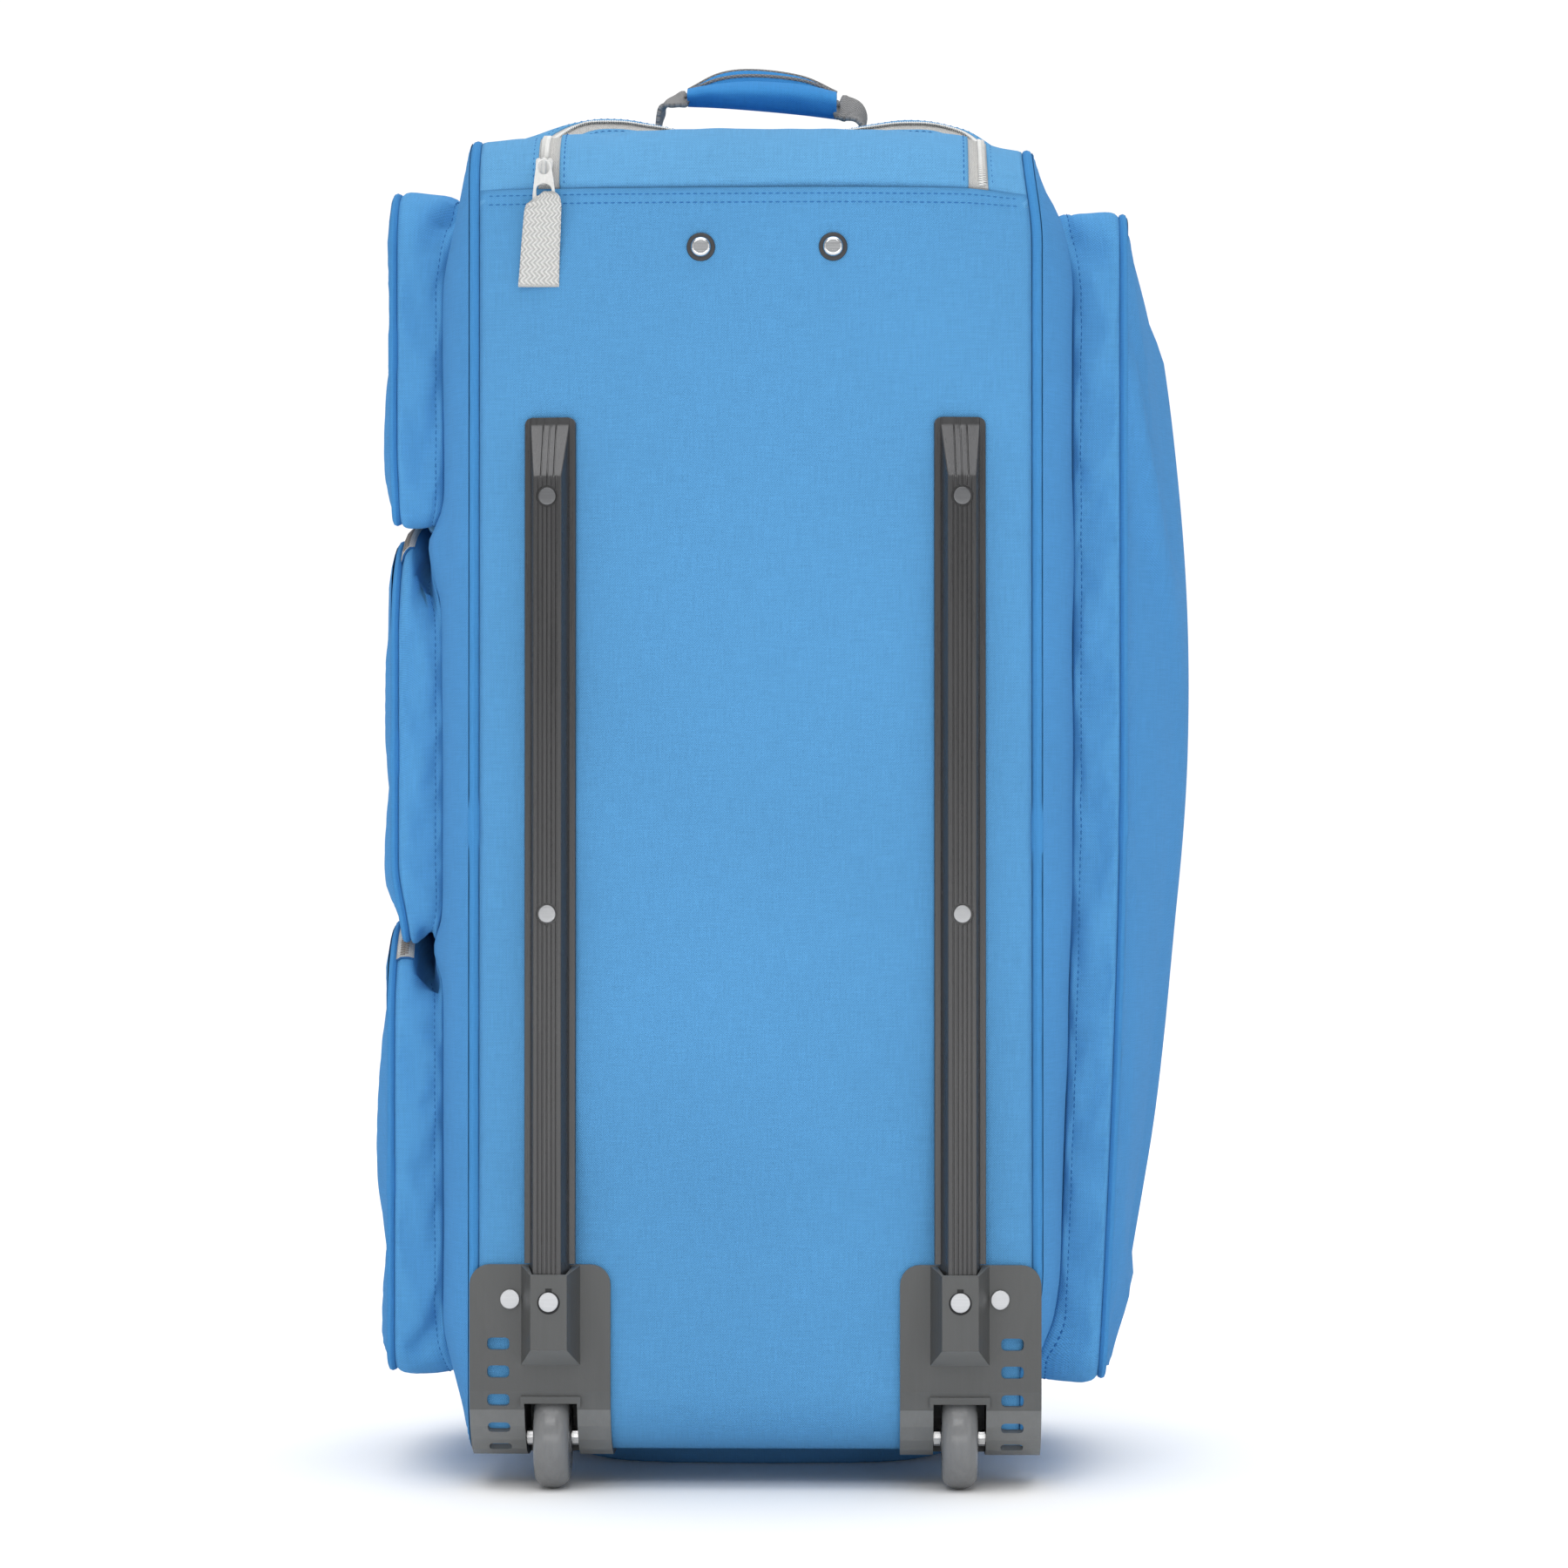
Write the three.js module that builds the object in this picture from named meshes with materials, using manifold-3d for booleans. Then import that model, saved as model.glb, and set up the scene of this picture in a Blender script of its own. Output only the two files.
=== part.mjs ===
// Wheeled duffel bag standing on its wheel end, base panel towards -Y. Millimetres, +Z up.
import * as THREE from 'three';
import { mergeVertices } from 'three/addons/utils/BufferGeometryUtils.js';
import Module from 'manifold-3d';

const wasm = await Module();
wasm.setup();

// Clearance between neighbours, and cloth thickness
const GAP = 0.3;
const WALL = 2;

// Body: the seam loop seen from the side, with the base seams at Y = 0
const DEPTH = 330;
const LOW = 20;
const HEAD = 751;
const SEAM_X = 156;
const CORNER = { baseLow: 36, baseHead: 30, topHead: 40, topLow: 40 };
const PIPING_R = 2.8;
const PIPING_INSET = 1.2;
const STRIP_X = SEAM_X - PIPING_R - GAP;
const SIDE_X = SEAM_X + PIPING_R + GAP;
const BASE_HIGH = HEAD - CORNER.baseHead;
const BASE_END_Y = 66;

// How far the filled bag swells between its seams
const BASE_BULGE = 11;
const HEAD_CROWN = 14;
const HEAD_BROW = 6;
const HEAD_HUMPS = [
  { x: -85, up: 10, reach: 34 },
  { x: 0, up: -3, reach: 40 },
  { x: 85, up: 4.5, reach: 34 },
];
const TOP_BULGE = 16;
const WHEEL_END_SAG = 27;
const SIDE_ROWS = [
  { inset: 0, out: 0, drawn: 0 },
  { inset: 6, out: 7, drawn: 4 },
  { inset: 22, out: 14, drawn: 5 },
  { inset: 56, out: 18.4, drawn: 6 },
];
const SIDE_OUT = SIDE_ROWS[SIDE_ROWS.length - 1].out;
const SIDE_FLAT_X = SIDE_X + SIDE_OUT;
const SIDE_TUCK = { lowFrom: LOW + 8, lowTo: LOW + 75, headFrom: HEAD - 85 };
const SIDE_LEAN = { deep: 12.5, from: 60, reach: 350 };
const SIDE_STEPS = 4;
const SEAM_CORNER_STEPS = 4;

// Side pockets: heights along the bag, outline radii, gusset depth, front swell and steps along the rim
const POCKET_NEAR = 56;
const POCKET_FAR = 272;
const POCKET_PIPING_R = 2;
const POCKET_CORNER_STEPS = 3;
const POCKETS = [
  {
    name: 'pocket_left_upper', side: -1, low: 540, high: 726, lowR: 10, highR: 32.5,
    edge: 29, bulge: 5, shoulder: 0, rim: 1,
  },
  {
    name: 'pocket_left_middle', side: -1, low: 308, high: 529, lowR: 14, highR: 42,
    edge: 28, bulge: 7, shoulder: 27, rim: 1,
  },
  {
    name: 'pocket_left_lower', side: -1, low: 61, high: 297, lowR: 16.5, highR: 42,
    edge: 28, bulge: 8, shoulder: 22, rim: 1,
  },
  {
    name: 'pocket_right', side: 1, low: 57, high: 713, lowR: 20.5, highR: 19.5,
    edge: 27, bulge: 38, shoulder: 0, rim: 4,
  },
];
const GUSSET_ROWS = [
  { share: 0, inset: 0, shoulder: 0 },
  { share: 0.4, inset: -3, shoulder: 0.04 },
  { share: 0.75, inset: -3.5, shoulder: 0.34 },
  { share: 1, inset: -2, shoulder: 1 },
];
const FRONT_INSETS = [0, 9, 28, 60];
const POCKET_ZIP = { from: 8, to: 22, coil: 5, reach: 24, thick: 1.2, rise: 1.4 };

// U-shaped zip of the handle-end flap: outline of its tape and coil seen along Z
const FLAP = { centreX: 5.5, halfX: 121, depthY: 70, cornerR: 22, tape: 6.5, coil: 3, rise: 1.6 };

// Plain straight zip down the hidden top panel
const MAIN_ZIP = { tape: 9, coil: 3.2, rise: 1.6 };

// Plastic runners on the base
const RAIL_X = 113;
const RAIL = {
  low: 106, neckTop: 127, high: 594, flange: 14.3, flangeH: 2.2, foot: 11, top: 7.8, height: 11,
};
const RAIL_RAMP = { from: 561, to: 590, end: 2.6 };
const RAIL_TILT = THREE.MathUtils.degToRad(6.5);
const RAIL_OUT = BASE_BULGE * swell(RAIL_X) + GAP;
const RAIL_RIVET_Z = [320, 550];
const RIVET = { radius: 5.6, height: 1.6, recess: 6.4, recessDeep: 1.2 };

// Wheel housings: plate round the lower corner, sleeve over the rail end, slots and wheel window
const HOUSING = { inner: -33, outer: 45, high: 126, thick: 3.3, cornerR: 11, endY: 58 };
const BOSS = { foot: 17, top: 10, low: 69.5, faceLow: 80.5, faceHigh: 121.5, out: 20.5 };
const SLEEVE = { foot: 12.4, top: 9.2, from: 3.9, to: 18.5, low: 100 };
const SLOT = { x: 29, length: 12.4, width: 6.8, first: 82.3, pitch: 15.4, count: 6 };
const WINDOW = { half: 14.6, high: 49.4, lip: 3.8, lipRise: 1.5 };
const HOUSING_RIVETS = [
  { x: 0, z: 107, out: BOSS.out },
  { x: 22.5, z: 107, out: HOUSING.thick + GAP },
];

// Wheels and their axles
const WHEEL = { radius: 28.5, half: 10, bore: 3.5, axleY: 18.4 };
const WHEEL_ROWS = [
  { r: WHEEL.bore, x: 10.3 },
  { r: 8, x: 10.3 },
  { r: 22.4, x: 10 },
  { r: 26.2, x: 7.4 },
  { r: 28.5, x: 2.6 },
];
const AXLE = { radius: 3, end: 16.4, collar: 4.8, collarFrom: 10.7, collarTo: 14.2 };
const WELL = { inner: 31.3, wall: 2 };

// Studs that hold the handle-end stiffening, and the grab handle
const STUD = { xs: [-29.8, 43.2], z: 688, washer: 7.9, washerH: 1.2, cap: 5.8, capH: 3.2 };
const HANDLE = { x: -5, y: 150, foot: 61, width: 30, thick: 3, rise: 33, tab: 26 };
const GRIP = { half: 45, wide: 18, up: 13, down: 11 };

// Zip slider on the left leg, its flat pull and the webbing tab
const SLIDER = { deg: 18, half: 5.2, thick: 2.8, length: 10.5, bridge: 5.2 };
const PULL = { half: 4.4, length: 29, thick: 1.4, bar: 2.4, slotHigh: 6.6, high: 742, out: 14, lean: 8 };
const TAB = { half: 10.5, gather: 2.4, thick: 1.3, length: 47, tilt: 5 };

// Colours
const BLUE = 0x4f95cf;
const GREY_TAPE = 0xd3d3d0;
const DARK_PLASTIC = 0x4d4d4d;
const HOUSING_PLASTIC = 0x6a6a69;
const STEEL = 0xb9bbbd;
const ENAMEL = 0xe6e6e4;

// Share of the swell that a strip has at a distance from the centre plane
function swell(x) {
  return 1 - Math.min(1, Math.abs(x / STRIP_X)) ** 2.5;
}

function smooth(from, to, value) {
  return THREE.MathUtils.smoothstep(value, from, to);
}

// Geometry from points and triangles, turned so that it faces outwards
function closedGeometry(points, index) {
  let volume = 0;
  for (let i = 0; i < index.length; i += 3) {
    const [a, b, c] = [points[index[i]], points[index[i + 1]], points[index[i + 2]]];
    volume += a.dot(b.clone().cross(c));
  }
  if (volume < 0) index.reverse();
  const geometry = new THREE.BufferGeometry().setFromPoints(points);
  geometry.setIndex(index);
  return geometry;
}

// Triangles over a closed ring, wound the way that the ring runs
function capTriangles(ring, start) {
  const normal = new THREE.Vector3();
  ring.forEach((p, i) => normal.add(p.clone().cross(ring[(i + 1) % ring.length])));
  const flat = ['x', 'y', 'z'].filter((axis) => axis !== largestAxis(normal));
  const outline = ring.map((p) => new THREE.Vector2(p[flat[0]], p[flat[1]]));
  const turn = Math.sign(THREE.ShapeUtils.area(outline));
  return THREE.ShapeUtils.triangulateShape(outline, []).flatMap((triangle) => {
    const area = THREE.ShapeUtils.area(triangle.map((i) => outline[i]));
    const ordered = Math.sign(area) === turn ? triangle : [...triangle].reverse();
    return ordered.map((i) => start + i);
  });
}

function largestAxis(v) {
  return ['x', 'y', 'z'].reduce((best, axis) => (Math.abs(v[axis]) > Math.abs(v[best]) ? axis : best));
}

// Level rungs across a ring that is the same on its near and far side, from its upper edge down
const rungs = (cornerSteps) => (ring, start) => {
  const near = (k) => start + ((cornerSteps - k + ring.length) % ring.length);
  const far = (k) => start + ((cornerSteps + 1 + k) % ring.length);
  return steps(0, ring.length / 2 - 2, ring.length / 2 - 2).flatMap((k) => [
    near(k + 1), near(k), far(k),
    near(k + 1), far(k), far(k + 1),
  ]);
};

// Surface through rings of equal length, capped at both ends or joined from the last to the first
function bandTriangles(rings, bands) {
  const count = rings[0].length;
  return rings.slice(0, bands).flatMap((ring, r) => {
    const a = r * count;
    const b = ((r + 1) % rings.length) * count;
    return ring.flatMap((_, i) => {
      const j = (i + 1) % count;
      return [a + i, a + j, b + j, a + i, b + j, b + i];
    });
  });
}

function loft(rings, joined = false, cap = capTriangles) {
  const count = rings[0].length;
  const index = bandTriangles(rings, joined ? rings.length : rings.length - 1);
  if (!joined) {
    index.push(...cap(rings[0], 0).reverse());
    index.push(...cap(rings[rings.length - 1], count * (rings.length - 1)));
  }
  return closedGeometry(rings.flat(), index);
}

// Sheet with two faces: each station's ring runs out along the outer one and back along the inner one
function sheet(stations, across, pointAt, outer, inner) {
  return loft(stations.map((station) => [
    ...across.map((a) => pointAt(station, a, outer)),
    ...[...across].reverse().map((a) => pointAt(station, a, inner)),
  ]));
}

function toSolid(geometry) {
  const bare = geometry.clone();
  bare.deleteAttribute('normal');
  bare.deleteAttribute('uv');
  const merged = mergeVertices(bare, 1e-4);
  return new wasm.Manifold(new wasm.Mesh({
    numProp: 3,
    vertProperties: new Float32Array(merged.attributes.position.array),
    triVerts: new Uint32Array(merged.index.array),
  }));
}

function fromSolid(solid) {
  const mesh = solid.getMesh();
  const geometry = new THREE.BufferGeometry();
  geometry.setAttribute('position', new THREE.BufferAttribute(mesh.vertProperties, 3));
  geometry.setIndex(new THREE.BufferAttribute(mesh.triVerts, 1));
  return geometry;
}

const join = (...geometries) => fromSolid(geometries.map(toSolid).reduce((a, b) => a.add(b)));
const cut = (geometry, ...tools) => fromSolid(
  tools.map(toSolid).reduce((a, b) => a.subtract(b), toSolid(geometry)));
const overlap = (a, b) => fromSolid(toSolid(a).intersect(toSolid(b)));

function box(x0, x1, y0, y1, z0, z1) {
  return new THREE.BoxGeometry(x1 - x0, y1 - y0, z1 - z0)
    .translate((x0 + x1) / 2, (y0 + y1) / 2, (z0 + z1) / 2);
}

function steps(from, to, count) {
  return Array.from({ length: count + 1 }, (_, i) => from + ((to - from) * i) / count);
}

// Rounded rectangle outline as a flat shape
function roundedShape(x0, x1, y0, y1, radius) {
  const shape = new THREE.Shape();
  shape.absarc(x1 - radius, y1 - radius, radius, 0, Math.PI / 2);
  shape.absarc(x0 + radius, y1 - radius, radius, Math.PI / 2, Math.PI);
  shape.absarc(x0 + radius, y0 + radius, radius, Math.PI, Math.PI * 1.5);
  shape.absarc(x1 - radius, y0 + radius, radius, Math.PI * 1.5, Math.PI * 2);
  return shape;
}

// Rounded block standing along Z
function roundedBlock(x0, x1, y0, y1, radius, z0, z1, segments = 3) {
  const shape = roundedShape(x0, x1, y0, y1, radius);
  return new THREE.ExtrudeGeometry(shape, { depth: z1 - z0, bevelEnabled: false, curveSegments: segments })
    .translate(0, 0, z0);
}

// Rounded block seen along Y: its outline lies in X and Z
function facingBlock(x0, x1, z0, z1, radius, y0, y1, segments = 3) {
  const shape = roundedShape(x0, x1, z0, z1, radius);
  return new THREE.ExtrudeGeometry(shape, { depth: y1 - y0, bevelEnabled: false, curveSegments: segments })
    .rotateX(Math.PI / 2)
    .translate(0, y1, 0);
}

// Turned piece about Y from rows of radius and height
function turnedUp(rows, segments) {
  const lathe = new THREE.LatheGeometry(rows.map(({ r, h }) => new THREE.Vector2(r, h)), segments);
  const places = lathe.attributes.position;
  const points = Array.from(
    { length: places.count }, (_, i) => new THREE.Vector3().fromBufferAttribute(places, i));
  return closedGeometry(points, [...lathe.index.array]);
}

// Turned piece about the X axis
function turned(rows, segments) {
  return turnedUp(rows.map(({ r, x }) => ({ r, h: x })), segments).rotateZ(-Math.PI / 2);
}

// Turned piece that faces -Y
function turnedFacing(rows, segments) {
  return turnedUp(rows, segments).rotateZ(Math.PI);
}

// Stretches of the seam loop: each station has a place, an outward direction and a swell
function straight(from, to, count, direction, amount) {
  return steps(0, 1, count).map((t) => {
    const y = THREE.MathUtils.lerp(from.y, to.y, t);
    const z = THREE.MathUtils.lerp(from.z, to.z, t);
    return { y, z, ...direction, amount: amount(y, z) };
  });
}

function bend(centre, radius, fromDeg, toDeg, count, amount) {
  return steps(fromDeg, toDeg, count).map((deg) => {
    const angle = THREE.MathUtils.degToRad(deg);
    const ny = -Math.cos(angle);
    const nz = Math.sin(angle);
    const turned = (deg - fromDeg) / (toDeg - fromDeg);
    return { y: centre.y + radius * ny, z: centre.z + radius * nz, ny, nz, amount: amount(turned) };
  });
}

// Point on a strip between the side seams; the cloth lies flat where it meets the floor
function stripPoint(station, x, raise) {
  const { y, z, ny, nz, amount } = station;
  const swelled = Math.min(amount * swell(x), nz < 0 ? z / -nz : Infinity);
  return new THREE.Vector3(x, y + ny * (swelled + raise), z + nz * (swelled + raise));
}

const FACE = {
  base: { ny: -1, nz: 0 }, head: { ny: 0, nz: 1 }, top: { ny: 1, nz: 0 }, low: { ny: 0, nz: -1 },
};
const baseAmount = (y, z) => BASE_BULGE * smooth(HOUSING.high + 2, HOUSING.high + 120, z);
const endAmount = (y) => WHEEL_END_SAG * smooth(BASE_END_Y, BASE_END_Y + 80, y);
const corner = {
  baseLow: { y: CORNER.baseLow, z: LOW + CORNER.baseLow },
  baseHead: { y: CORNER.baseHead, z: HEAD - CORNER.baseHead },
  topHead: { y: DEPTH - CORNER.topHead, z: HEAD - CORNER.topHead },
  topLow: { y: DEPTH - CORNER.topLow, z: LOW + CORNER.topLow },
};

const baseStations = [
  ...straight({ y: BASE_END_Y, z: LOW }, { y: CORNER.baseLow, z: LOW }, 2, FACE.low, () => 0).slice(0, -1),
  ...bend(corner.baseLow, CORNER.baseLow, 270, 360, 6, () => 0),
  ...straight({ y: 0, z: HOUSING.high }, { y: 0, z: 250 }, 5, FACE.base, baseAmount),
  ...straight({ y: 0, z: 480 }, { y: 0, z: BASE_HIGH }, 1, FACE.base, baseAmount),
];
// The handle end rises over its flap to a brow with humps behind the zip, and is level from there on
const headAmount = (y) => THREE.MathUtils.lerp(HEAD_BROW, HEAD_CROWN, smooth(corner.baseHead.y, 80, y));
const humpShare = (y) => smooth(0, 80, y) * (1 - smooth(84, 120, y));
const headUp = (y, x) => humpShare(y) * HEAD_HUMPS.reduce(
  (sum, hump) => sum + hump.up * Math.exp(-(((x - hump.x) / hump.reach) ** 2)), 0);
const headBend = (from, count) => bend(
  { y: corner.baseHead.y, z: corner.baseHead.z + GAP }, CORNER.baseHead, from, 90, count,
  (t) => THREE.MathUtils.lerp(BASE_BULGE, HEAD_BROW, from / 90 + t * (1 - from / 90)));
const headLevel = (from, to, count) => straight(
  { y: from, z: HEAD + GAP }, { y: to, z: HEAD + GAP }, count, FACE.head, headAmount);

function headPoint(station, x, raise) {
  const point = stripPoint(station, x, raise);
  return point.setZ(point.z + headUp(station.y, x) * Math.max(0, station.nz));
}

const headStations = [
  ...headBend(0, 5),
  ...headLevel(55, 80, 1),
  ...headLevel(120, corner.topHead.y, 1),
  ...bend({ y: corner.topHead.y, z: corner.topHead.z + GAP }, CORNER.topHead, 90, 180, 4,
    (t) => THREE.MathUtils.lerp(HEAD_CROWN, TOP_BULGE, t)).slice(1),
];
const topStations = straight(
  { y: DEPTH, z: corner.topHead.z }, { y: DEPTH, z: corner.topLow.z + GAP }, 1, FACE.top, () => TOP_BULGE);
const wheelEndStations = [
  ...bend(corner.topLow, CORNER.topLow, 180, 270, 4,
    (t) => THREE.MathUtils.lerp(TOP_BULGE, WHEEL_END_SAG, t)),
  ...straight({ y: 250, z: LOW }, { y: BASE_END_Y + GAP, z: LOW }, 6, FACE.low, endAmount),
];
const acrossStrip = [-1, -0.85, -0.56, 0, 0.56, 0.85, 1].map((s) => s * STRIP_X);

// Swell of a strip at a place between its columns, where its facets run straight
function facetSwell(x) {
  const next = acrossStrip.findIndex((column) => column >= x);
  const [a, b] = [acrossStrip[next - 1], acrossStrip[next]];
  return THREE.MathUtils.mapLinear(x, a, b, swell(a), swell(b));
}

// Rounded loop in the side view: points with outward directions, from the near low corner upwards
function roundedLoop(rect, radii, inset, perCorner, perSide = 1) {
  const { y0, y1, z0, z1 } = rect;
  const corners = [
    { y: y0, z: z1, dy: 1, dz: -1, r: radii.nearHigh, from: 0 },
    { y: y1, z: z1, dy: -1, dz: -1, r: radii.farHigh, from: 90 },
    { y: y1, z: z0, dy: -1, dz: 1, r: radii.farLow, from: 180 },
    { y: y0, z: z0, dy: 1, dz: 1, r: radii.nearLow, from: 270 },
  ];
  const loop = [];
  corners.forEach(({ y, z, dy, dz, r, from }, c) => {
    const radius = Math.max(r - inset, 1.5);
    const centre = { y: y + dy * (inset + radius), z: z + dz * (inset + radius) };
    loop.push(...bend(centre, radius, from, from + 90, perCorner, () => 0));
    const next = corners[(c + 1) % 4];
    const nextRadius = Math.max(next.r - inset, 1.5);
    const end = loop[loop.length - 1];
    const reach = inset + nextRadius;
    const begin = {
      y: next.y + next.dy * reach + nextRadius * end.ny,
      z: next.z + next.dz * reach + nextRadius * end.nz,
    };
    const along = c % 2 === 1 ? perSide : 1;
    steps(0, 1, along).slice(1, -1).forEach((t) => loop.push({
      ...end, y: THREE.MathUtils.lerp(end.y, begin.y, t), z: THREE.MathUtils.lerp(end.z, begin.z, t) }));
  });
  return loop;
}

const seamRect = { y0: 0, y1: DEPTH, z0: LOW, z1: HEAD };
const seamRadii = {
  nearHigh: CORNER.baseHead, farHigh: CORNER.topHead, farLow: CORNER.topLow, nearLow: CORNER.baseLow };
const seamLoop = (inset, perSide = 1) => roundedLoop(
  seamRect, seamRadii, inset, SEAM_CORNER_STEPS, perSide);

// A side is drawn in at both ends of the bag, and the right one leans in towards the wheels
const sideTuck = (z) => (
  smooth(SIDE_TUCK.lowFrom, SIDE_TUCK.lowTo, z) * (1 - smooth(SIDE_TUCK.headFrom, HEAD, z)));

function sideLean(side, z) {
  const up = THREE.MathUtils.clamp((z - SIDE_LEAN.from) / SIDE_LEAN.reach, 0, 1);
  return side < 0 ? 0 : SIDE_LEAN.deep * (1 - up) ** 1.6;
}

function sideRing(side, row, inset, back) {
  return seamLoop(inset, SIDE_STEPS).map(({ y, z }) => {
    const share = THREE.MathUtils.clamp(sideTuck(z) - sideLean(side, z) / SIDE_OUT, 0, 1);
    const out = THREE.MathUtils.lerp(row.drawn, row.out, share);
    return new THREE.Vector3(side * (SIDE_X + out - back), y, z);
  });
}

// Outer facets of a side panel, and how far out they stand at a place
function sideFacets(side) {
  const rings = SIDE_ROWS.map((row) => sideRing(side, row, row.inset, 0));
  const last = rings.length - 1;
  const cap = rungs(SEAM_CORNER_STEPS)(rings[last], last * rings[last].length);
  const points = rings.flat();
  const corners = [...bandTriangles(rings, last), ...cap].map((i) => points[i]);
  const starts = corners.map((_, i) => i).filter((i) => i % 3 === 0);
  return starts.map((i) => corners.slice(i, i + 3));
}

function facetX(facets, y, z) {
  const place = new THREE.Vector3(0, y, z);
  for (const [a, b, c] of facets) {
    const flat = new THREE.Triangle(...[a, b, c].map((p) => new THREE.Vector3(0, p.y, p.z)));
    const share = flat.getBarycoord(place, new THREE.Vector3());
    if (share && Math.min(share.x, share.y, share.z) > -1e-6) {
      return Math.abs(a.x * share.x + b.x * share.y + c.x * share.z);
    }
  }
  return SIDE_FLAT_X;
}

// Shallow bowl of cloth: rows run over the outer face to its middle, and the inner face lies a wall behind
function bowl(rows, ringAt, cap) {
  const inner = rows.map(({ inset }, i) => (
    i === 0 ? ringAt(inset + WALL, 0, i) : ringAt(inset, WALL, i)));
  const outer = rows.map((row, i) => ringAt(row.inset, 0, i));
  return loft([...inner.reverse(), ...outer], false, cap);
}

function sidePanel(side) {
  const ringAt = (inset, back, i) => sideRing(side, SIDE_ROWS[i], inset, back);
  return bowl(SIDE_ROWS, ringAt, rungs(SEAM_CORNER_STEPS));
}

// Cord of piping along a loop, at a distance from the centre plane that its height gives
function pipingLoop(loop, xAt, radius, sides) {
  return loft(loop.map(({ y, z, ny, nz }) => steps(0, 360, sides).slice(0, -1).map((deg) => {
    const angle = THREE.MathUtils.degToRad(deg);
    const out = radius * Math.cos(angle);
    return new THREE.Vector3(xAt(z) + radius * Math.sin(angle), y + ny * out, z + nz * out);
  })), true);
}

// Outline of a pocket at an inset, lowered at its upper edge by a shoulder
function pocketLoop(pocket, inset, shoulder, perSide = 1) {
  const rect = { y0: POCKET_NEAR, y1: POCKET_FAR, z0: pocket.low, z1: pocket.high - shoulder };
  const { lowR, highR } = pocket;
  const radii = { nearHigh: highR, farHigh: highR, farLow: lowR, nearLow: lowR };
  return roundedLoop(rect, radii, inset, POCKET_CORNER_STEPS, perSide);
}

// Gusset wall of a pocket, seated on the side panel
function pocketGusset(pocket) {
  const seat = GAP + 0.2;
  const facets = sideFacets(pocket.side);
  const ring = (row, back) => {
    const loop = pocketLoop(pocket, row.inset + back, pocket.shoulder * row.shoulder, pocket.rim);
    return loop.map(({ y, z }) => {
      const standing = SIDE_FLAT_X + pocket.edge * row.share - sideLean(pocket.side, z);
      const x = row.share === 0 ? facetX(facets, y, z) + seat : standing;
      return new THREE.Vector3(pocket.side * x, y, z);
    });
  };
  const outer = GUSSET_ROWS.map((row) => ring(row, 0));
  const inner = GUSSET_ROWS.map((row) => ring(row, WALL)).reverse();
  return loft([...outer, ...inner], true);
}

function pocketPiping(pocket) {
  const out = SIDE_FLAT_X + pocket.edge + GAP + POCKET_PIPING_R;
  const perSide = pocket.side > 0 ? pocket.rim : 1;
  const loop = pocketLoop(pocket, -0.5, pocket.shoulder, perSide);
  return pipingLoop(loop, (z) => pocket.side * (out - sideLean(pocket.side, z)), POCKET_PIPING_R, 5);
}

// Swell of a pocket front, fuller above the middle of its height
function frontSwell(pocket, y, z) {
  const v = Math.abs((2 * y - POCKET_NEAR - POCKET_FAR) / (POCKET_FAR - POCKET_NEAR));
  const t = THREE.MathUtils.clamp((z - pocket.low) / (pocket.high - pocket.shoulder - pocket.low), 0, 1);
  return Math.max(0, 1 - v ** 2.4) * Math.max(0, Math.sin(Math.PI * t ** 1.35)) ** 0.75;
}

function pocketFront(pocket) {
  const edge = SIDE_FLAT_X + pocket.edge + 2 * POCKET_PIPING_R + 2 * GAP;
  const perSide = pocket.high - pocket.low > 300 ? 6 : 2;
  return bowl(FRONT_INSETS.map((inset) => ({ inset })), (inset, back, i) => {
    const rim = i === 0 ? 0 : 2.5;
    return pocketLoop(pocket, inset, pocket.shoulder, perSide).map(({ y, z }) => {
      const lean = sideLean(pocket.side, z);
      const x = edge + rim + pocket.bulge * frontSwell(pocket, y, z) - back;
      return new THREE.Vector3(pocket.side * ((i === 0 ? edge : x) - lean), y, z);
    });
  }, rungs(POCKET_CORNER_STEPS));
}

// Zip laid in the gusset: over the upper edge and a short way down both ends
function pocketZip(pocket) {
  const share = (POCKET_ZIP.from + POCKET_ZIP.to) / 2 / pocket.edge;
  const upper = pocketLoop(pocket, GUSSET_ROWS[1].inset, 0).slice(0, 2 * (POCKET_CORNER_STEPS + 1));
  const [first, last] = [upper[0], upper[upper.length - 1]];
  const lowered = (station) => ({ ...station, z: station.z - POCKET_ZIP.reach });
  const path = [lowered(first), ...upper, lowered(last)];
  const lower = (out) => pocket.shoulder * THREE.MathUtils.mapLinear(out, 0.4, 0.75, 0.04, 0.34);
  const at = (station, out, raise) => new THREE.Vector3(
    pocket.side * (SIDE_FLAT_X + out),
    station.y + station.ny * raise,
    station.z - Math.max(0, lower(out / pocket.edge)) * (station.z > pocket.high - pocket.highR * 2 ? 1 : 0)
      + station.nz * raise);
  const middle = pocket.edge * share;
  const half = POCKET_ZIP.coil / 2;
  const low = 1 + GAP;
  const tape = sheet(path, [POCKET_ZIP.from, middle, POCKET_ZIP.to], at, low + POCKET_ZIP.thick, low);
  const crest = low + POCKET_ZIP.thick + POCKET_ZIP.rise;
  const coil = sheet(path, [middle - half, middle, middle + half], at, crest, low + 0.4);
  return join(tape, coil);
}

// Handle end: one curved sheet parted into surround, zip and flap by upright U-shaped cutters
function headSheet(outer, inner) {
  return sheet(headStations, acrossStrip, headPoint, outer, inner);
}

function flapCutter(inset) {
  const half = FLAP.halfX + FLAP.tape - inset;
  const far = FLAP.depthY + FLAP.tape - inset;
  const [left, right] = [FLAP.centreX - half, FLAP.centreX + half];
  return roundedBlock(left, right, -120, far, FLAP.cornerR, BASE_HIGH - 20, HEAD + 60);
}

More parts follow.
